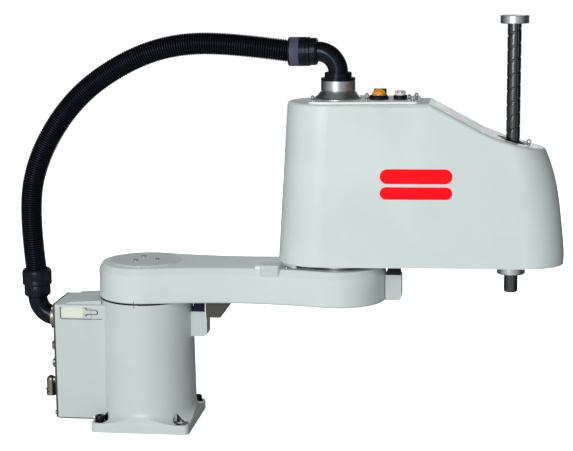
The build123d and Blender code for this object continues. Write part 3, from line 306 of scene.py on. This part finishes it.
def make_materials():
    white = (0.69, 0.785, 0.768)
    even = (1, 1, 1)
    lacquer("paint_casting", white)
    # The rear box's paint and the base's paint are darker copies of the same white: painted shade for the
    # dimmer lower part of the robot.
    lacquer("paint_sheet", tinted(white, 0.86), 0.34)
    lacquer("paint_base_shaded", tinted(white, 0.92))
    lacquer("cover_shell", tinted(white, 1.02), 0.36)
    lacquer("white_plate", (0.93, 0.95, 0.93), 0.3)
    lacquer("cream_label", (0.80, 0.84, 0.70), 0.5, 0.0)
    lacquer("dark_sheet", (0.055, 0.055, 0.04), 0.5, 0.0)
    lacquer("button_white", (0.85, 0.87, 0.86), 0.25)
    bare_metal("black_screw", (0.02, 0.02, 0.025), 0.38, even, 300.0)
    bare_metal("steel_screw", (0.42, 0.43, 0.43), 0.33, even, 300.0)
    bare_metal("nickel_fitting", (0.30, 0.27, 0.23), 0.27, (60, 1, 1))
    bare_metal("turned_aluminium", (0.50, 0.53, 0.53), 0.3, (1, 1, 45), 30.0)
    bare_metal("reducer_steel", (0.5, 0.5, 0.5), 0.3)
    # The shaft's steel is far darker than bare steel: a painted dark reflection of the surroundings.
    bare_metal("shaft_steel", (0.10, 0.105, 0.11), 0.16, (1, 1, 30), 40.0)
    bare_metal("collar_steel", (0.62, 0.645, 0.67), 0.3, (1, 1, 30), 40.0)
    bare_metal("nut_steel", (0.45, 0.45, 0.46), 0.28)
    bare_metal("pulley_aluminium", (0.6, 0.6, 0.6), 0.33)
    black_plastic("rubber_buffer", 0.009, 0.6)
    black_plastic("gloss_black", 0.003, 0.16, 300)
    black_plastic("coupling_black", 0.005, 0.3)
    black_plastic("coupling_band", 0.085, 0.55, 500)
    # Dark steel for the screw pockets: bare metal, darkened as painted shade for the inside of the
    # pockets.
    bare_metal("pocket_steel", (0.13, 0.13, 0.125), 0.22, even, 160.0)
    black_plastic("hose_black", 0.003, 0.25, 600)
    black_plastic("motor_black", 0.02, 0.45)
    black_plastic("belt_rubber", 0.01, 0.7)
    black_plastic("lamp_black", 0.006, 0.3)
    lens = Paint("lamp_orange", (1.0, 0.36, 0.0), 0.18)
    lens.vary_colour((1.0, 0.30, 0.0), (1.0, 0.44, 0.005), 120).bump(260, 0.0001, 0.3)
    lens.set(coat=0.7, subsurface=0.1)
    red = Paint("red_film", (0.95, 0.001, 0.008), 0.5)
    red.vary_colour((0.90, 0.001, 0.006), (1.0, 0.002, 0.01), 60).bump(700, 0.00003, 0.3)
    # The red stripes glow a little though they are no lamp: painted light.
    red.shader.inputs["Emission Color"].default_value = (1, 0, 0.004, 1)
    red.set(specular=0.1, glow=0.22)
    return Paint.made


def dress_cad_nodes():
    """Every CAD node takes the procedural material of its record slot."""
    for part in frame["record"]["subparts"]:
        node = frame["nodes"][part["node"]]
        node.data.materials.clear()
        node.data.materials.append(MATERIALS[part["material_slot"]])


# ---------------------------------------------------------------- mesh tools
def shifted(verts, place):
    return [Vector(v) + Vector(place) for v in verts]


def new_piece(name, verts, faces, material, body, smooth=True, sharp=0.6):
    """A mesh object that rides on a body, with its edges sharp past an angle."""
    mesh = bpy.data.meshes.new(name)
    mesh.from_pydata(verts, [], faces)
    mesh.validate()
    mesh.materials.append(MATERIALS[material])
    for polygon in mesh.polygons:
        polygon.use_smooth = smooth
    if smooth:
        mesh.set_sharp_from_angle(angle=sharp)
    piece = bpy.data.objects.new(name, mesh)
    bpy.context.collection.objects.link(piece)
    if body:
        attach(piece, body)
    return piece


def lathe(profile, around=64, place=(0, 0, 0), axis="z", wobble=None):
    """A turned surface from (radius, distance along the axis) pairs; wobble scales radii by angle."""
    turn = {"z": lambda r, c, s, d: (r * c, r * s, d), "x": lambda r, c, s, d: (d, r * c, r * s)}[axis]
    verts, faces = [], []
    for i, (radius, along) in enumerate(profile):
        for k in range(around):
            angle = TURN * k / around
            r = radius * (wobble(i, angle) if wobble else 1.0)
            x, y, z = turn(r, math.cos(angle), math.sin(angle), along)
            verts.append((place[0] + x, place[1] + y, place[2] + z))
    for i in range(len(profile) - 1):
        for k in range(around):
            a, b = i * around + k, i * around + (k + 1) % around
            faces.append((a, b, b + around, a + around))
    return verts, faces


def closed_lathe(profile, **options):
    """A turned solid: the profile's last pair joins its first."""
    around = options.get("around", 64)
    verts, faces = lathe(profile, **options)
    last = (len(profile) - 1) * around
    faces += [(last + k, last + (k + 1) % around, (k + 1) % around, k) for k in range(around)]
    return verts, faces


def prism(outline, bottom, top, bevel=0.0):
    """An upright prism on a plan outline, with a bevelled top edge."""
    centre = (sum(p[0] for p in outline) / len(outline), sum(p[1] for p in outline) / len(outline))
    levels = [(bottom, 0.0), (top - bevel, 0.0), (top, bevel)] if bevel else [(bottom, 0.0), (top, 0.0)]
    verts, faces, count = [], [], len(outline)
    for z, inset in levels:
        for x, y in outline:
            out = Vector((x - centre[0], y - centre[1]))
            share = 1 - inset / max(out.length, 1e-6)
            verts.append((centre[0] + out.x * share, centre[1] + out.y * share, z))
    for i in range(len(levels) - 1):
        for k in range(count):
            a, b = i * count + k, i * count + (k + 1) % count
            faces.append((a, b, b + count, a + count))
    faces.append(tuple(reversed(range(count))))
    faces.append(tuple(range((len(levels) - 1) * count, len(levels) * count)))
    return verts, faces


def place_upright(verts, origin, along_x, along_y, along_z):
    """Moves local points to an origin with the given local axes."""
    x, y, z = (Vector(v) for v in (along_x, along_y, along_z))
    return [Vector(origin) + x * v[0] + y * v[1] + z * v[2] for v in verts]


def rounded_rectangle(width, height, radius, steps=6):
    points = []
    for corner in range(4):
        cx = (width / 2 - radius) * (1 if corner in (0, 3) else -1)
        cy = (height / 2 - radius) * (1 if corner in (0, 1) else -1)
        for i in range(steps + 1):
            angle = TURN * (corner / 4 + i / steps / 4)
            points.append((cx + radius * math.cos(angle), cy + radius * math.sin(angle)))
    return points


def socket_screw(radius, height, steps=36):
    """The head of a socket-head screw, knurled round its side, with a hexagon socket."""
    hexagon = radius * 0.55
    ring = [(radius * 0.92, 0.0), (radius, height * 0.08), (radius, height * 0.86), (radius * 0.9, height),
            (hexagon * 1.12, height), (hexagon, height * 0.96), (hexagon, height * 0.45),
            (ALMOST_NOTHING, height * 0.42)]

    def shape(i, angle):
        if i in (1, 2):
            return 1.0 - 0.02 * (round(angle / TURN * steps) % 2)
        if i in (5, 6):
            return math.cos(math.pi / 6) / math.cos((angle % (TURN / 6)) - math.pi / 6)
        return 1.0

    return lathe(ring, around=steps, wobble=shape)


# ---------------------------------------------------------------- hose
HOSE_ROUTE = [
    (-0.172, 0, 0.230),
    (-0.182, 0, 0.326),
    (-0.162, 0, 0.413),
    (-0.104, 0, 0.499),
    (-0.024, 0, 0.554),
    (0.055, 0, 0.580),
    (0.145, 0, 0.579),
    (0.2285, 0, 0.5676),
]
HOSE_R = 16.25 * MM
HOSE_VALLEY_R = 14.6 * MM
HOSE_PITCH = 3.6 * MM
HOSE_RINGS_PER_RIB = 8
HOSE_AROUND = 40


def spline_points(name, route, resolution=60):
    """Points along the smooth NURBS line of a route."""
    data = bpy.data.curves.new(name, "CURVE")
    data.dimensions = "3D"
    spline = data.splines.new("NURBS")
    spline.points.add(len(route) - 1)
    for point, place in zip(spline.points, route):
        point.co = (*place, 1)
    spline.order_u = 3
    spline.use_endpoint_u = True
    spline.resolution_u = resolution
    line = bpy.data.objects.new(name, data)
    bpy.context.collection.objects.link(line)
    bpy.context.view_layer.update()
    mesh = bpy.data.meshes.new_from_object(line.evaluated_get(bpy.context.evaluated_depsgraph_get()))
    points = [v.co.copy() for v in mesh.vertices]
    bpy.data.objects.remove(line)
    return points


def even_points(points, step):
    """The same line at even steps, with its length."""
    lengths = [0.0]
    for a, b in zip(points, points[1:]):
        lengths.append(lengths[-1] + (b - a).length)
    total = lengths[-1]
    count = round(total / step)
    result, index = [], 0
    for i in range(count + 1):
        wanted = total * i / count
        while index < len(points) - 2 and lengths[index + 1] < wanted:
            index += 1
        share = (wanted - lengths[index]) / (lengths[index + 1] - lengths[index])
        result.append(points[index].lerp(points[index + 1], share))
    return result, total


def rib_radius(phase):
    """The hose's outline over one rib: a broad rounded crest and a narrower valley."""
    wave = 0.5 + 0.5 * math.cos(TURN * phase)
    return HOSE_VALLEY_R + (HOSE_R - HOSE_VALLEY_R) * min(1.0, 1.15 * wave ** 0.7)


def add_hose():
    rings_per_rib, around = HOSE_RINGS_PER_RIB, HOSE_AROUND
    path = spline_points("hose_line", HOSE_ROUTE)
    line, length = even_points(path, HOSE_PITCH / rings_per_rib)
    side = Vector((0, 1, 0))
    verts, faces = [], []
    for i, place in enumerate(line):
        before, after = line[max(i - 1, 0)], line[min(i + 1, len(line) - 1)]
        out = side.cross((after - before).normalized())
        radius = rib_radius(i / rings_per_rib)
        for k in range(around):
            angle = TURN * k / around
            verts.append(place + (out * math.cos(angle) + side * math.sin(angle)) * radius)
    for i in range(len(line) - 1):
        for k in range(around):
            a, b = i * around + k, i * around + (k + 1) % around
            faces.append((a, b, b + around, a + around))
    faces.append(tuple(reversed(range(around))))
    faces.append(tuple(range((len(line) - 1) * around, len(line) * around)))
    hose = new_piece("corrugated_hose", verts, faces, "hose_black", None, sharp=1.2)
    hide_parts("conduit_hose")
    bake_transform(hose)


# ---------------------------------------------------------------- couplings
def ribbed(share, ribs, rows):
    """A wobble that presses shallow grip flutes into some rows of a turned profile."""
    return lambda i, angle: 1.0 - share * (0.5 - 0.5 * math.cos(angle * ribs)) if i in rows else 1.0


LOWER_COUPLING_HEIGHT = 43.7
LOWER_COUPLING_ROWS = [  # radius and height in mm
    (11.5, 0), (15.5, 0), (19.2, 3.2), (20.0, 4.4), (20.0, 17.6), (19.4, 18.4), (19.4, 19.0),
    (21.8, 19.6), (22.4, 20.4), (22.4, 26.0), (22.0, 26.6), (22.0, 27.4), (22.4, 28.0), (22.4, 39.4),
    (21.6, 41.6), (19.6, LOWER_COUPLING_HEIGHT), (17.6, LOWER_COUPLING_HEIGHT), (17.2, 35.5), (11.5, 35.5),
]
UPPER_COLLAR_ROWS = [  # radius and distance from the elbow's end in mm
    (12.0, 0), (17.0, 0), (19.0, -0.8), (19.8, -2.4), (20.0, -4.0), (20.0, -10.4), (20.6, -11.0),
    (21.3, -11.6), (21.3, -15.6), (20.6, -16.0), (20.6, -16.6), (21.3, -17.0), (21.3, -26.6),
    (12.0, -26.6),
]
UPPER_BAND_ROWS = [(12.0, -26.6), (21.3, -26.6), (21.3, -39.6), (12.0, -39.6)]
UPPER_MOUTH_ROWS = [
    (12.0, -39.6), (21.3, -39.6), (21.2, -41.2), (20.6, -42.4), (19.4, -43.0), (17.2, -43.0),
    (17.0, -40.4), (12.0, -40.4),
]


def add_lower_coupling():
    low, high = low_of("lower_coupling"), high_of("lower_coupling")
    x, z0, z1 = (low.x + high.x) / 2, low.z, high.z
    scale = (z1 - z0) / LOWER_COUPLING_HEIGHT
    profile = [(r * MM, z0 + up * scale) for r, up in LOWER_COUPLING_ROWS]
    flutes = ribbed(0.018, 24, (3, 4, 12, 13))
    verts, faces = closed_lathe(profile, around=120, place=(x, 0, 0), wobble=flutes)
    piece = new_piece("lower_hose_coupling", verts, faces, "coupling_black", "base")
    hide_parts("lower_coupling")


def add_upper_coupling():
    low, high = low_of("upper_coupling"), high_of("upper_coupling")
    place = (0, 0, (low.z + high.z) / 2)
    for name, rows, material, around, wobble in (
        ("collar", UPPER_COLLAR_ROWS, "coupling_black", 120, ribbed(0.02, 16, (4, 5))),
        ("band", UPPER_BAND_ROWS, "coupling_band", 96, None),
        ("mouth", UPPER_MOUTH_ROWS, "coupling_black", 96, None),
    ):
        profile = [(r * MM, high.x + along * MM) for r, along in rows]
        verts, faces = closed_lathe(profile, around=around, place=place, axis="x", wobble=wobble)
        piece = new_piece(f"upper_coupling_{name}", verts, faces, material, "conduit_swivel")
        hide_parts("upper_coupling")


# ---------------------------------------------------------------- tool shaft
SCREW_LEAD = 20 * MM
GROOVE_HALF_WIDTH = 1.7 * MM
GROOVE_DEPTH = 0.9 * MM
SPLINE_GROOVES = 4
SPLINE_START = math.radians(-62)
SPLINE_HALF_WIDTH = 1.15 * MM
SPLINE_DEPTH = 0.6 * MM
SHAFT_BORE_R = 5.5 * MM
SHAFT_CHAMFER = 1.5 * MM
SHAFT_AROUND = 96
SHAFT_RINGS = 420
SHAFT_LOW = low_of("tool_shaft").z
SHAFT_HIGH = high_of("tool_shaft").z
TOOL_END = SHAFT_LOW + SHAFT_CHAMFER + 24.5 * MM     # top of the plain end that holds a tool
NECK_DEPTH = 0.7 * MM            # of the ring groove above the plain end
FIRST_RING = TOOL_END + 14 * MM
GROOVES_FROM = FIRST_RING + 1 * MM
GROOVES_TO = SHAFT_HIGH - 11 * MM


def groove_depth(offset, half_width, depth):
    """The depth of a round-bottomed groove at a distance from its middle line."""
    share = abs(offset) / half_width
    return depth * math.sqrt(1 - share * share) if share < 1 else 0.0


def shaft_radius(angle, z):
    """The shaft's radius with one helical groove and four straight ones cut into it."""
    if z == SHAFT_LOW:
        return SHAFT_R - SHAFT_CHAMFER
    if TOOL_END + 0.05 * MM < z < TOOL_END + 1.15 * MM:
        return SHAFT_R - NECK_DEPTH
    if not GROOVES_FROM < z < GROOVES_TO:
        return SHAFT_R
    pitch_offset = (z / SCREW_LEAD - angle / TURN + 0.5) % 1.0 - 0.5
    helix = groove_depth(pitch_offset * SCREW_LEAD, GROOVE_HALF_WIDTH, GROOVE_DEPTH)
    step = TURN / SPLINE_GROOVES
    turn_offset = (angle - SPLINE_START + step / 2) % step - step / 2
    straight = groove_depth(turn_offset * SHAFT_R, SPLINE_HALF_WIDTH, SPLINE_DEPTH)
    return SHAFT_R - max(helix, straight)


def shaft_ring(radius_at, z):
    verts = []
    for k in range(SHAFT_AROUND):
        angle = TURN * k / SHAFT_AROUND
        r = radius_at(angle)
        verts.append((SHAFT_X + r * math.cos(angle), r * math.sin(angle), z))
    return verts


def add_shaft():
    neck = [TOOL_END + up * MM for up in (0, 0.1, 1.1, 1.2)]
    grooved = [FIRST_RING + (SHAFT_HIGH - FIRST_RING) * i / SHAFT_RINGS for i in range(SHAFT_RINGS + 1)]
    heights = [SHAFT_LOW, SHAFT_LOW + SHAFT_CHAMFER, *neck, *grooved]
    verts, faces = [], []
    for z in heights:
        verts += shaft_ring(lambda angle: shaft_radius(angle, z), z)
    for z in (SHAFT_HIGH, SHAFT_LOW):
        verts += shaft_ring(lambda angle: SHAFT_BORE_R, z)
    rings = len(heights) + 2
    for i in range(rings):
        below, above = i * SHAFT_AROUND, (i + 1) % rings * SHAFT_AROUND
        for k in range(SHAFT_AROUND):
            beside = (k + 1) % SHAFT_AROUND
            faces.append((below + k, below + beside, above + beside, above + k))
    shaft = new_piece("grooved_shaft", verts, faces, "shaft_steel", "quill", sharp=0.5)
    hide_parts("tool_shaft")


# ---------------------------------------------------------------- base details
POCKET_FLOOR_ROWS = [(4.6, -0.2), (13.2, -0.2), (13.5, 0.15), (4.6, 0.15)]     # radius, height in mm
POCKET_R = 10.9 * MM
POCKET_LINER_TOP = 12.5 * MM
POCKET_LINER_THICKNESS = 0.2 * MM
POCKET_LINER_REACH = math.radians(75)
BASE_SCREW_OFFSET = (3.5 * MM, 1 * MM)     # outwards along X and Y from the hole
SEAL_ROWS = [  # radius and height, from below the column's top edge to just below the arm
    (58 * MM, COLUMN_TOP - 0.9 * MM),
    (70.2 * MM, COLUMN_TOP - 0.9 * MM),
    (70.4 * MM, ARM_BOTTOM - 0.15 * MM),
    (58 * MM, ARM_BOTTOM - 0.15 * MM),
]
SIDE_STRIPS = [  # name, X range, Z range, material, slot
    ("cover_label", (-0.1225, -0.0885), (0.1700, 0.1858), "cream_label", "paint_sheet"),
    # The three dark lines below are painted shade in the groove beside the label, and painted shadow under
    # the cover's lower edge and along the box's bottom edge.
    ("cover_groove_shade", (-0.1249, -0.1237), (0.1690, 0.1862), "dark_sheet", "dark_sheet"),
    ("cover_lower_shadow_line", (-0.1235, -0.0600), (0.1676, 0.1683), "dark_sheet", "dark_sheet"),
    ("box_bottom_shadow_line", (-0.1325, -0.0755), (0.0116, 0.0130), "dark_sheet", "dark_sheet"),
]
STRIP_HEIGHT = 0.5 * MM
STRIP_ROOT = -0.3 * MM
TAB_PLACE = (-0.0865, BOX_SIDE_Y, 0.1808)
TAB_ALONG = (1.45, 0, 0)
TAB_UP = (0, 0, 0.95)
TAB_HEIGHT = 0.4 * MM
TAB_OUTLINE = [
    (0, 5), (1.4, 5), (2.6, 1.6), (12, 1.6), (14.2, -0.4), (14.2, -4.6), (12.6, -6.4), (3, -6.4),
    (1.6, -9), (0, -9), (0, -7.9), (0.9, -7.7), (2.2, -5.3), (12.0, -5.3), (13.0, -4.1), (13.0, -0.9),
    (11.6, 0.7), (2, 0.7), (0.8, 3.9), (0, 3.9),
]


def add_base_screws():
    """Two screws hold the base down; the near right hole is left open, its pocket bare metal."""
    for name, sx, sy in (("near_left", -1, -1), ("near_right", 1, -1), ("far_right", 1, 1)):
        pocket = [(r * MM, up * MM) for r, up in POCKET_FLOOR_ROWS]
        place = (sx * (BOLT_PLACE - 0.5 * MM), sy * BOLT_PLACE, PLATE_TOP)
        verts, faces = closed_lathe(pocket, around=48, place=place)
        new_piece(f"base_pocket_{name}", verts, faces, "pocket_steel", "base")
        verts, faces = pocket_shade_liner(math.atan2(-sy, -sx), Vector(place))
        new_piece(f"pocket_shade_liner_{name}", verts, faces, "pocket_steel", "base")
        if name == "near_right":
            continue
        verts, faces = socket_screw(7.2 * MM, 8.5 * MM)
        out_x, out_y = BASE_SCREW_OFFSET
        verts = shifted(verts, (sx * (BOLT_PLACE + out_x), sy * (BOLT_PLACE + out_y), PLATE_TOP))
        new_piece(f"base_screw_{name}", verts, faces, "black_screw", "base")


def pocket_shade_liner(inward, place):
    """The wall that a screw's pocket cuts into the flared foot of the column: bare metal, made dark as
    painted shade inside the pocket.
    """
    outside, inside, steps = POCKET_R, POCKET_R - POCKET_LINER_THICKNESS, 24
    verts = []
    for i in range(steps + 1):
        away = POCKET_LINER_REACH * (2 * i / steps - 1)
        angle = inward + away
        top = POCKET_LINER_TOP * math.cos(away) ** 3
        for r, z in ((outside, 0), (outside, top), (inside, top), (inside, 0)):
            verts.append(place + Vector((r * math.cos(angle), r * math.sin(angle), z)))
    faces = [(0, 1, 2, 3), tuple(4 * steps + k for k in (3, 2, 1, 0))]
    for i in range(steps):
        for k in range(4):
            a, b = 4 * i + k, 4 * i + (k + 1) % 4
            faces.append((a, a + 4, b + 4, b))
    return verts, faces


def add_side_strip(name, x_range, z_range, material, slot):
    """A thin raised rectangle on the near side of the rear box; the dark ones are painted shade lines."""
    width, tall = x_range[1] - x_range[0], z_range[1] - z_range[0]
    corner = min(width, tall) * 0.25
    outline = rounded_rectangle(width, tall, corner)
    verts, faces = prism(outline, STRIP_ROOT, STRIP_HEIGHT, STRIP_HEIGHT * 0.4)
    origin = ((x_range[0] + x_range[1]) / 2, BOX_SIDE_Y, (z_range[0] + z_range[1]) / 2)
    verts = place_upright(verts, origin, (1, 0, 0), (0, 0, 1), (0, -1, 0))
    new_piece(name, verts, faces, material, "base")


def add_base_details():
    """A label with a hooked tab and thin dark lines of painted shade on the near side of the box, and the
    arm's seal.
    """
    for strip in SIDE_STRIPS:
        add_side_strip(*strip)
    verts, faces = ribbon(TAB_OUTLINE, TAB_HEIGHT)
    verts = place_upright(verts, TAB_PLACE, TAB_ALONG, TAB_UP, (0, -1, 0))
    new_piece("cover_tab_edge", verts, faces, "dark_sheet", "base", smooth=False)
    verts, faces = closed_lathe(SEAL_ROWS, around=160)
    new_piece("column_seal", verts, faces, "gloss_black", "base")


def ribbon(outline, height):
    """A thin raised line with a closed outline in millimetres, whose two long sides run side by side."""
    count = len(outline)
    verts = [(x * MM, y * MM, level) for level in (0.0, height) for x, y in outline]
    faces = [(k, (k + 1) % count, (k + 1) % count + count, k + count) for k in range(count)]
    half = count // 2
    for k in range(half - 1):
        a, b = k, count - 1 - k
        faces.append((a + count, a + 1 + count, b - 1 + count, b + count))
        faces.append((b, b - 1, a + 1, a))
    return verts, faces


# ---------------------------------------------------------------- arm details
GUARD_FLANGE_BOTTOM = 177 * MM
ZERO_TICK_ANGLE = math.radians(-93.5)
ZERO_TICKS = [  # name, body, radius, bottom, top
    ("column", "base", 70.9 * MM, COLUMN_TOP - 4.5 * MM, COLUMN_TOP - 1.2 * MM),
    ("arm", "inner_arm", 71.0 * MM, ARM_BOTTOM + 1 * MM, ARM_BOTTOM + 5 * MM),
]
RIDGE_INNER_R = 54.5 * MM
RIDGE_WIDTH = 4 * MM
RIDGE_REACH = math.radians(20)


def add_guard_flange():
    """The thin light plate on the rear of the dark box under the arm."""
    outline = rounded_rectangle(1.6 * MM, 64 * MM, 0.5 * MM)
    verts, faces = prism(outline, GUARD_FLANGE_BOTTOM, ARM_BOTTOM, 0.4 * MM)
    verts = shifted(verts, (low_of("cable_guard").x - 1.0 * MM, 0, 0))
    new_piece("guard_flange", verts, faces, "white_plate", "inner_arm")


def add_zero_ticks():
    """The small ticks that mark the first axis's zero, on the column and on the arm."""
    outward = (math.cos(ZERO_TICK_ANGLE), math.sin(ZERO_TICK_ANGLE), 0)
    across = (-outward[1], outward[0], 0)
    for name, body, radius, z0, z1 in ZERO_TICKS:
        centre = (radius * outward[0], radius * outward[1], (z0 + z1) / 2)
        outline = rounded_rectangle(0.6 * MM, z1 - z0, 0.25 * MM)
        verts, faces = prism(outline, -0.6 * MM, 0.25 * MM, 0.1 * MM)
        verts = place_upright(verts, centre, across, (0, 0, 1), outward)
        new_piece(f"zero_tick_{name}", verts, faces, "dark_sheet", body)


def add_cap_ridge():
    """A low crescent ridge beside the first axis's cap."""
    steps = 14
    verts, faces = [], []
    for i in range(steps + 1):
        angle = RIDGE_REACH * (2 * i / steps - 1)
        swell = math.sin(math.pi * i / steps)
        width = RIDGE_WIDTH * max(swell, 0.05)
        for out, up in ((0, 0), (0.6 * MM, 1.6 * swell), (2.4 * MM, 1.2 * swell), (width, 0)):
            r = RIDGE_INNER_R + out
            verts.append((r * math.cos(angle), r * math.sin(angle), ARM_TOP - 0.05 * MM + up * MM))
    for i in range(steps):
        for k in range(3):
            a = i * 4 + k
            faces.append((a, a + 4, a + 5, a + 1))
    new_piece("cap_ridge", verts, faces, "paint_casting", "inner_arm")


def add_zero_block_parts():
    """A screw beside the zero block, and a white piece on its rear side that is partly a painted
    highlight.
    """
    low, high = low_of("zero_mark_block"), high_of("zero_mark_block")
    verts, faces = socket_screw(3.0 * MM, 3.0 * MM)
    verts = shifted(verts, (high.x + 10 * MM, low.y + 12 * MM, ARM_TOP))
    new_piece("zero_block_screw", verts, faces, "steel_screw", "inner_arm")
    # A white piece beside the zero block: partly a real piece, partly a painted highlight.
    outline = rounded_rectangle(9 * MM, 12 * MM, 1.5 * MM)
    verts, faces = prism(outline, ARM_TOP - 0.1 * MM, ARM_TOP + 3.6 * MM, 0.8 * MM)
    verts = shifted(verts, (low.x - 4.5 * MM, low.y + 14 * MM, 0))
    new_piece("zero_block_highlight_clip", verts, faces, "white_plate", "inner_arm")


def add_arm_details():
    add_guard_flange()
    add_zero_ticks()
    add_cap_ridge()
    add_zero_block_parts()


# ---------------------------------------------------------------- outer arm details
STRIPE_X = (0.3605, 0.4645)
STRIPES = [("upper", 0.3815, 0.4030), ("lower", 0.3590, 0.3770)]     # name, bottom, top
STRIPE_FACE = 0.25 * MM          # above the cover
STRIPE_BACK = -0.5 * MM          # inside the cover's wall
STRIPE_COLUMNS = 40
STRIPE_ROWS = 12
STRIPE_TIP = 0.15 * MM           # half of the height that is left at a stripe's very end
LAMP_RING_ROWS = [  # radius, height above the panel in mm
    (14.0, 0.4), (14.6, 0.8), (14.6, 3.0), (14.0, 3.4), (13.0, 3.4), (13.0, 0.4),
]
BUTTON_NOTCHES = 8


def add_decal():
    """Two plain red stripes with round ends, lying on the cover's near side."""
    cover = frame["nodes"]["outer_arm_cover"].data
    surface = BVHTree.FromPolygons([v.co for v in cover.vertices], [p.vertices for p in cover.polygons])

    def on_side(x, z, lift):
        return surface.ray_cast(Vector((x, -1, z)), Vector((0, 1, 0)))[0] + Vector((0, -lift, 0))

    (x0, x1), columns, rows = STRIPE_X, STRIPE_COLUMNS, STRIPE_ROWS
    for name, z0, z1 in STRIPES:
        middle, half = (z0 + z1) / 2, (z1 - z0) / 2
        verts, faces = [], []
        for lift in (STRIPE_FACE, STRIPE_BACK):
            for i in range(columns + 1):
                x = x0 + (x1 - x0) * (0.5 - 0.5 * math.cos(math.pi * i / columns))
                inward = max(0.0, half - min(x - x0, x1 - x))
                reach = max(math.sqrt(max(half * half - inward * inward, 0.0)), STRIPE_TIP)
                verts += [on_side(x, middle + reach * (2 * j / rows - 1), lift) for j in range(rows + 1)]
        stride, size = rows + 1, (columns + 1) * (rows + 1)
        for i in range(columns):
            for j in range(rows):
                a = i * stride + j
                faces.append((a, a + stride, a + stride + 1, a + 1))
                faces.append((a + size, a + 1 + size, a + stride + 1 + size, a + stride + size))
        rim = [i * stride for i in range(columns + 1)] + [columns * stride + j for j in range(1, rows + 1)]
        rim += [i * stride + rows for i in reversed(range(columns))] + list(reversed(range(1, rows)))
        for a, b in zip(rim, rim[1:] + rim[:1]):
            faces.append((b, a, a + size, b + size))
        new_piece(f"side_mark_{name}", verts, faces, "red_film", "outer_arm")


def add_lamp_ring():
    """A ribbed ring round the lamp."""
    lamp = centre_of("lamp_bezel")
    profile = [(r * MM, USER_PANEL_TOP + z * MM) for r, z in LAMP_RING_ROWS]
    ribs = ribbed(0.02, 36, (1, 2))
    verts, faces = closed_lathe(profile, around=144, place=(lamp.x, lamp.y, 0), wobble=ribs)
    new_piece("lamp_ring", verts, faces, "lamp_black", "outer_arm")


def add_button_notches():
    """Dark marks round the rim of the button's cap, where its notches are: painted shade in the notches.
    """
    low, high = low_of("brake_release_button"), high_of("brake_release_button")
    centre, top = (low + high) / 2, high.z
    distance = (high.x - low.x) / 2 * 0.96
    outline = rounded_rectangle(1.0 * MM, 2.0 * MM, 0.4 * MM)
    for i in range(BUTTON_NOTCHES):
        angle = TURN * (i + 0.5) / BUTTON_NOTCHES
        verts, faces = prism(outline, top - 3.2 * MM, top - 0.6 * MM, 0.2 * MM)
        across, outward = (-math.sin(angle), math.cos(angle), 0), (math.cos(angle), math.sin(angle), 0)
        origin = (centre.x + distance * outward[0], centre.y + distance * outward[1], 0)
        verts = place_upright(verts, origin, outward, across, (0, 0, 1))
        new_piece(f"button_notch_shade_{i + 1}", verts, faces, "lamp_black", "brake_button")


# ---------------------------------------------------------------- connector pins
PIN_ROOT_X = PANEL_X - 3.9 * MM


def add_pins(node, rings, pin_r, length):
    """Contact pins in circles inside a round socket on the rear panel."""
    low, high = low_of(node), high_of(node)
    y, z = (low.y + high.y) / 2, (low.z + high.z) / 2
    profile = [(ALMOST_NOTHING, -length), (pin_r * 0.7, -length), (pin_r, pin_r - length), (pin_r, 0.0)]
    verts, faces = [], []
    for radius, count in rings:
        for i in range(count):
            angle = TURN * i / count
            place = (PIN_ROOT_X, y + radius * math.cos(angle), z + radius * math.sin(angle))
            some_verts, some_faces = lathe(profile, around=12, place=place, axis="x")
            faces += [tuple(k + len(verts) for k in face) for face in some_faces]
            verts += some_verts
    new_piece(f"{node}_pins", verts, faces, "steel_screw", "base")


# ---------------------------------------------------------------- build
MATERIALS = make_materials()
add_studio()
add_hose()
dress_cad_nodes()
for collar in ("upper_collar", "lower_collar"):
    frame["nodes"][collar].data.materials[0] = MATERIALS["collar_steel"]
# The base casting takes the darker copy of the casting paint: painted shade.
frame["nodes"]["base_casting"].data.materials[0] = MATERIALS["paint_base_shaded"]
add_lower_coupling()
add_upper_coupling()
add_shaft()
add_base_screws()
add_base_details()
add_arm_details()
add_decal()
add_lamp_ring()
add_button_notches()
add_pins("power_connector", [(0.0, 1), (5.5 * MM, 6)], 1.1 * MM, 4.5 * MM)
add_pins("signal_connector", [(0.0, 1), (3.0 * MM, 6), (5.6 * MM, 12)], 0.55 * MM, 3.6 * MM)
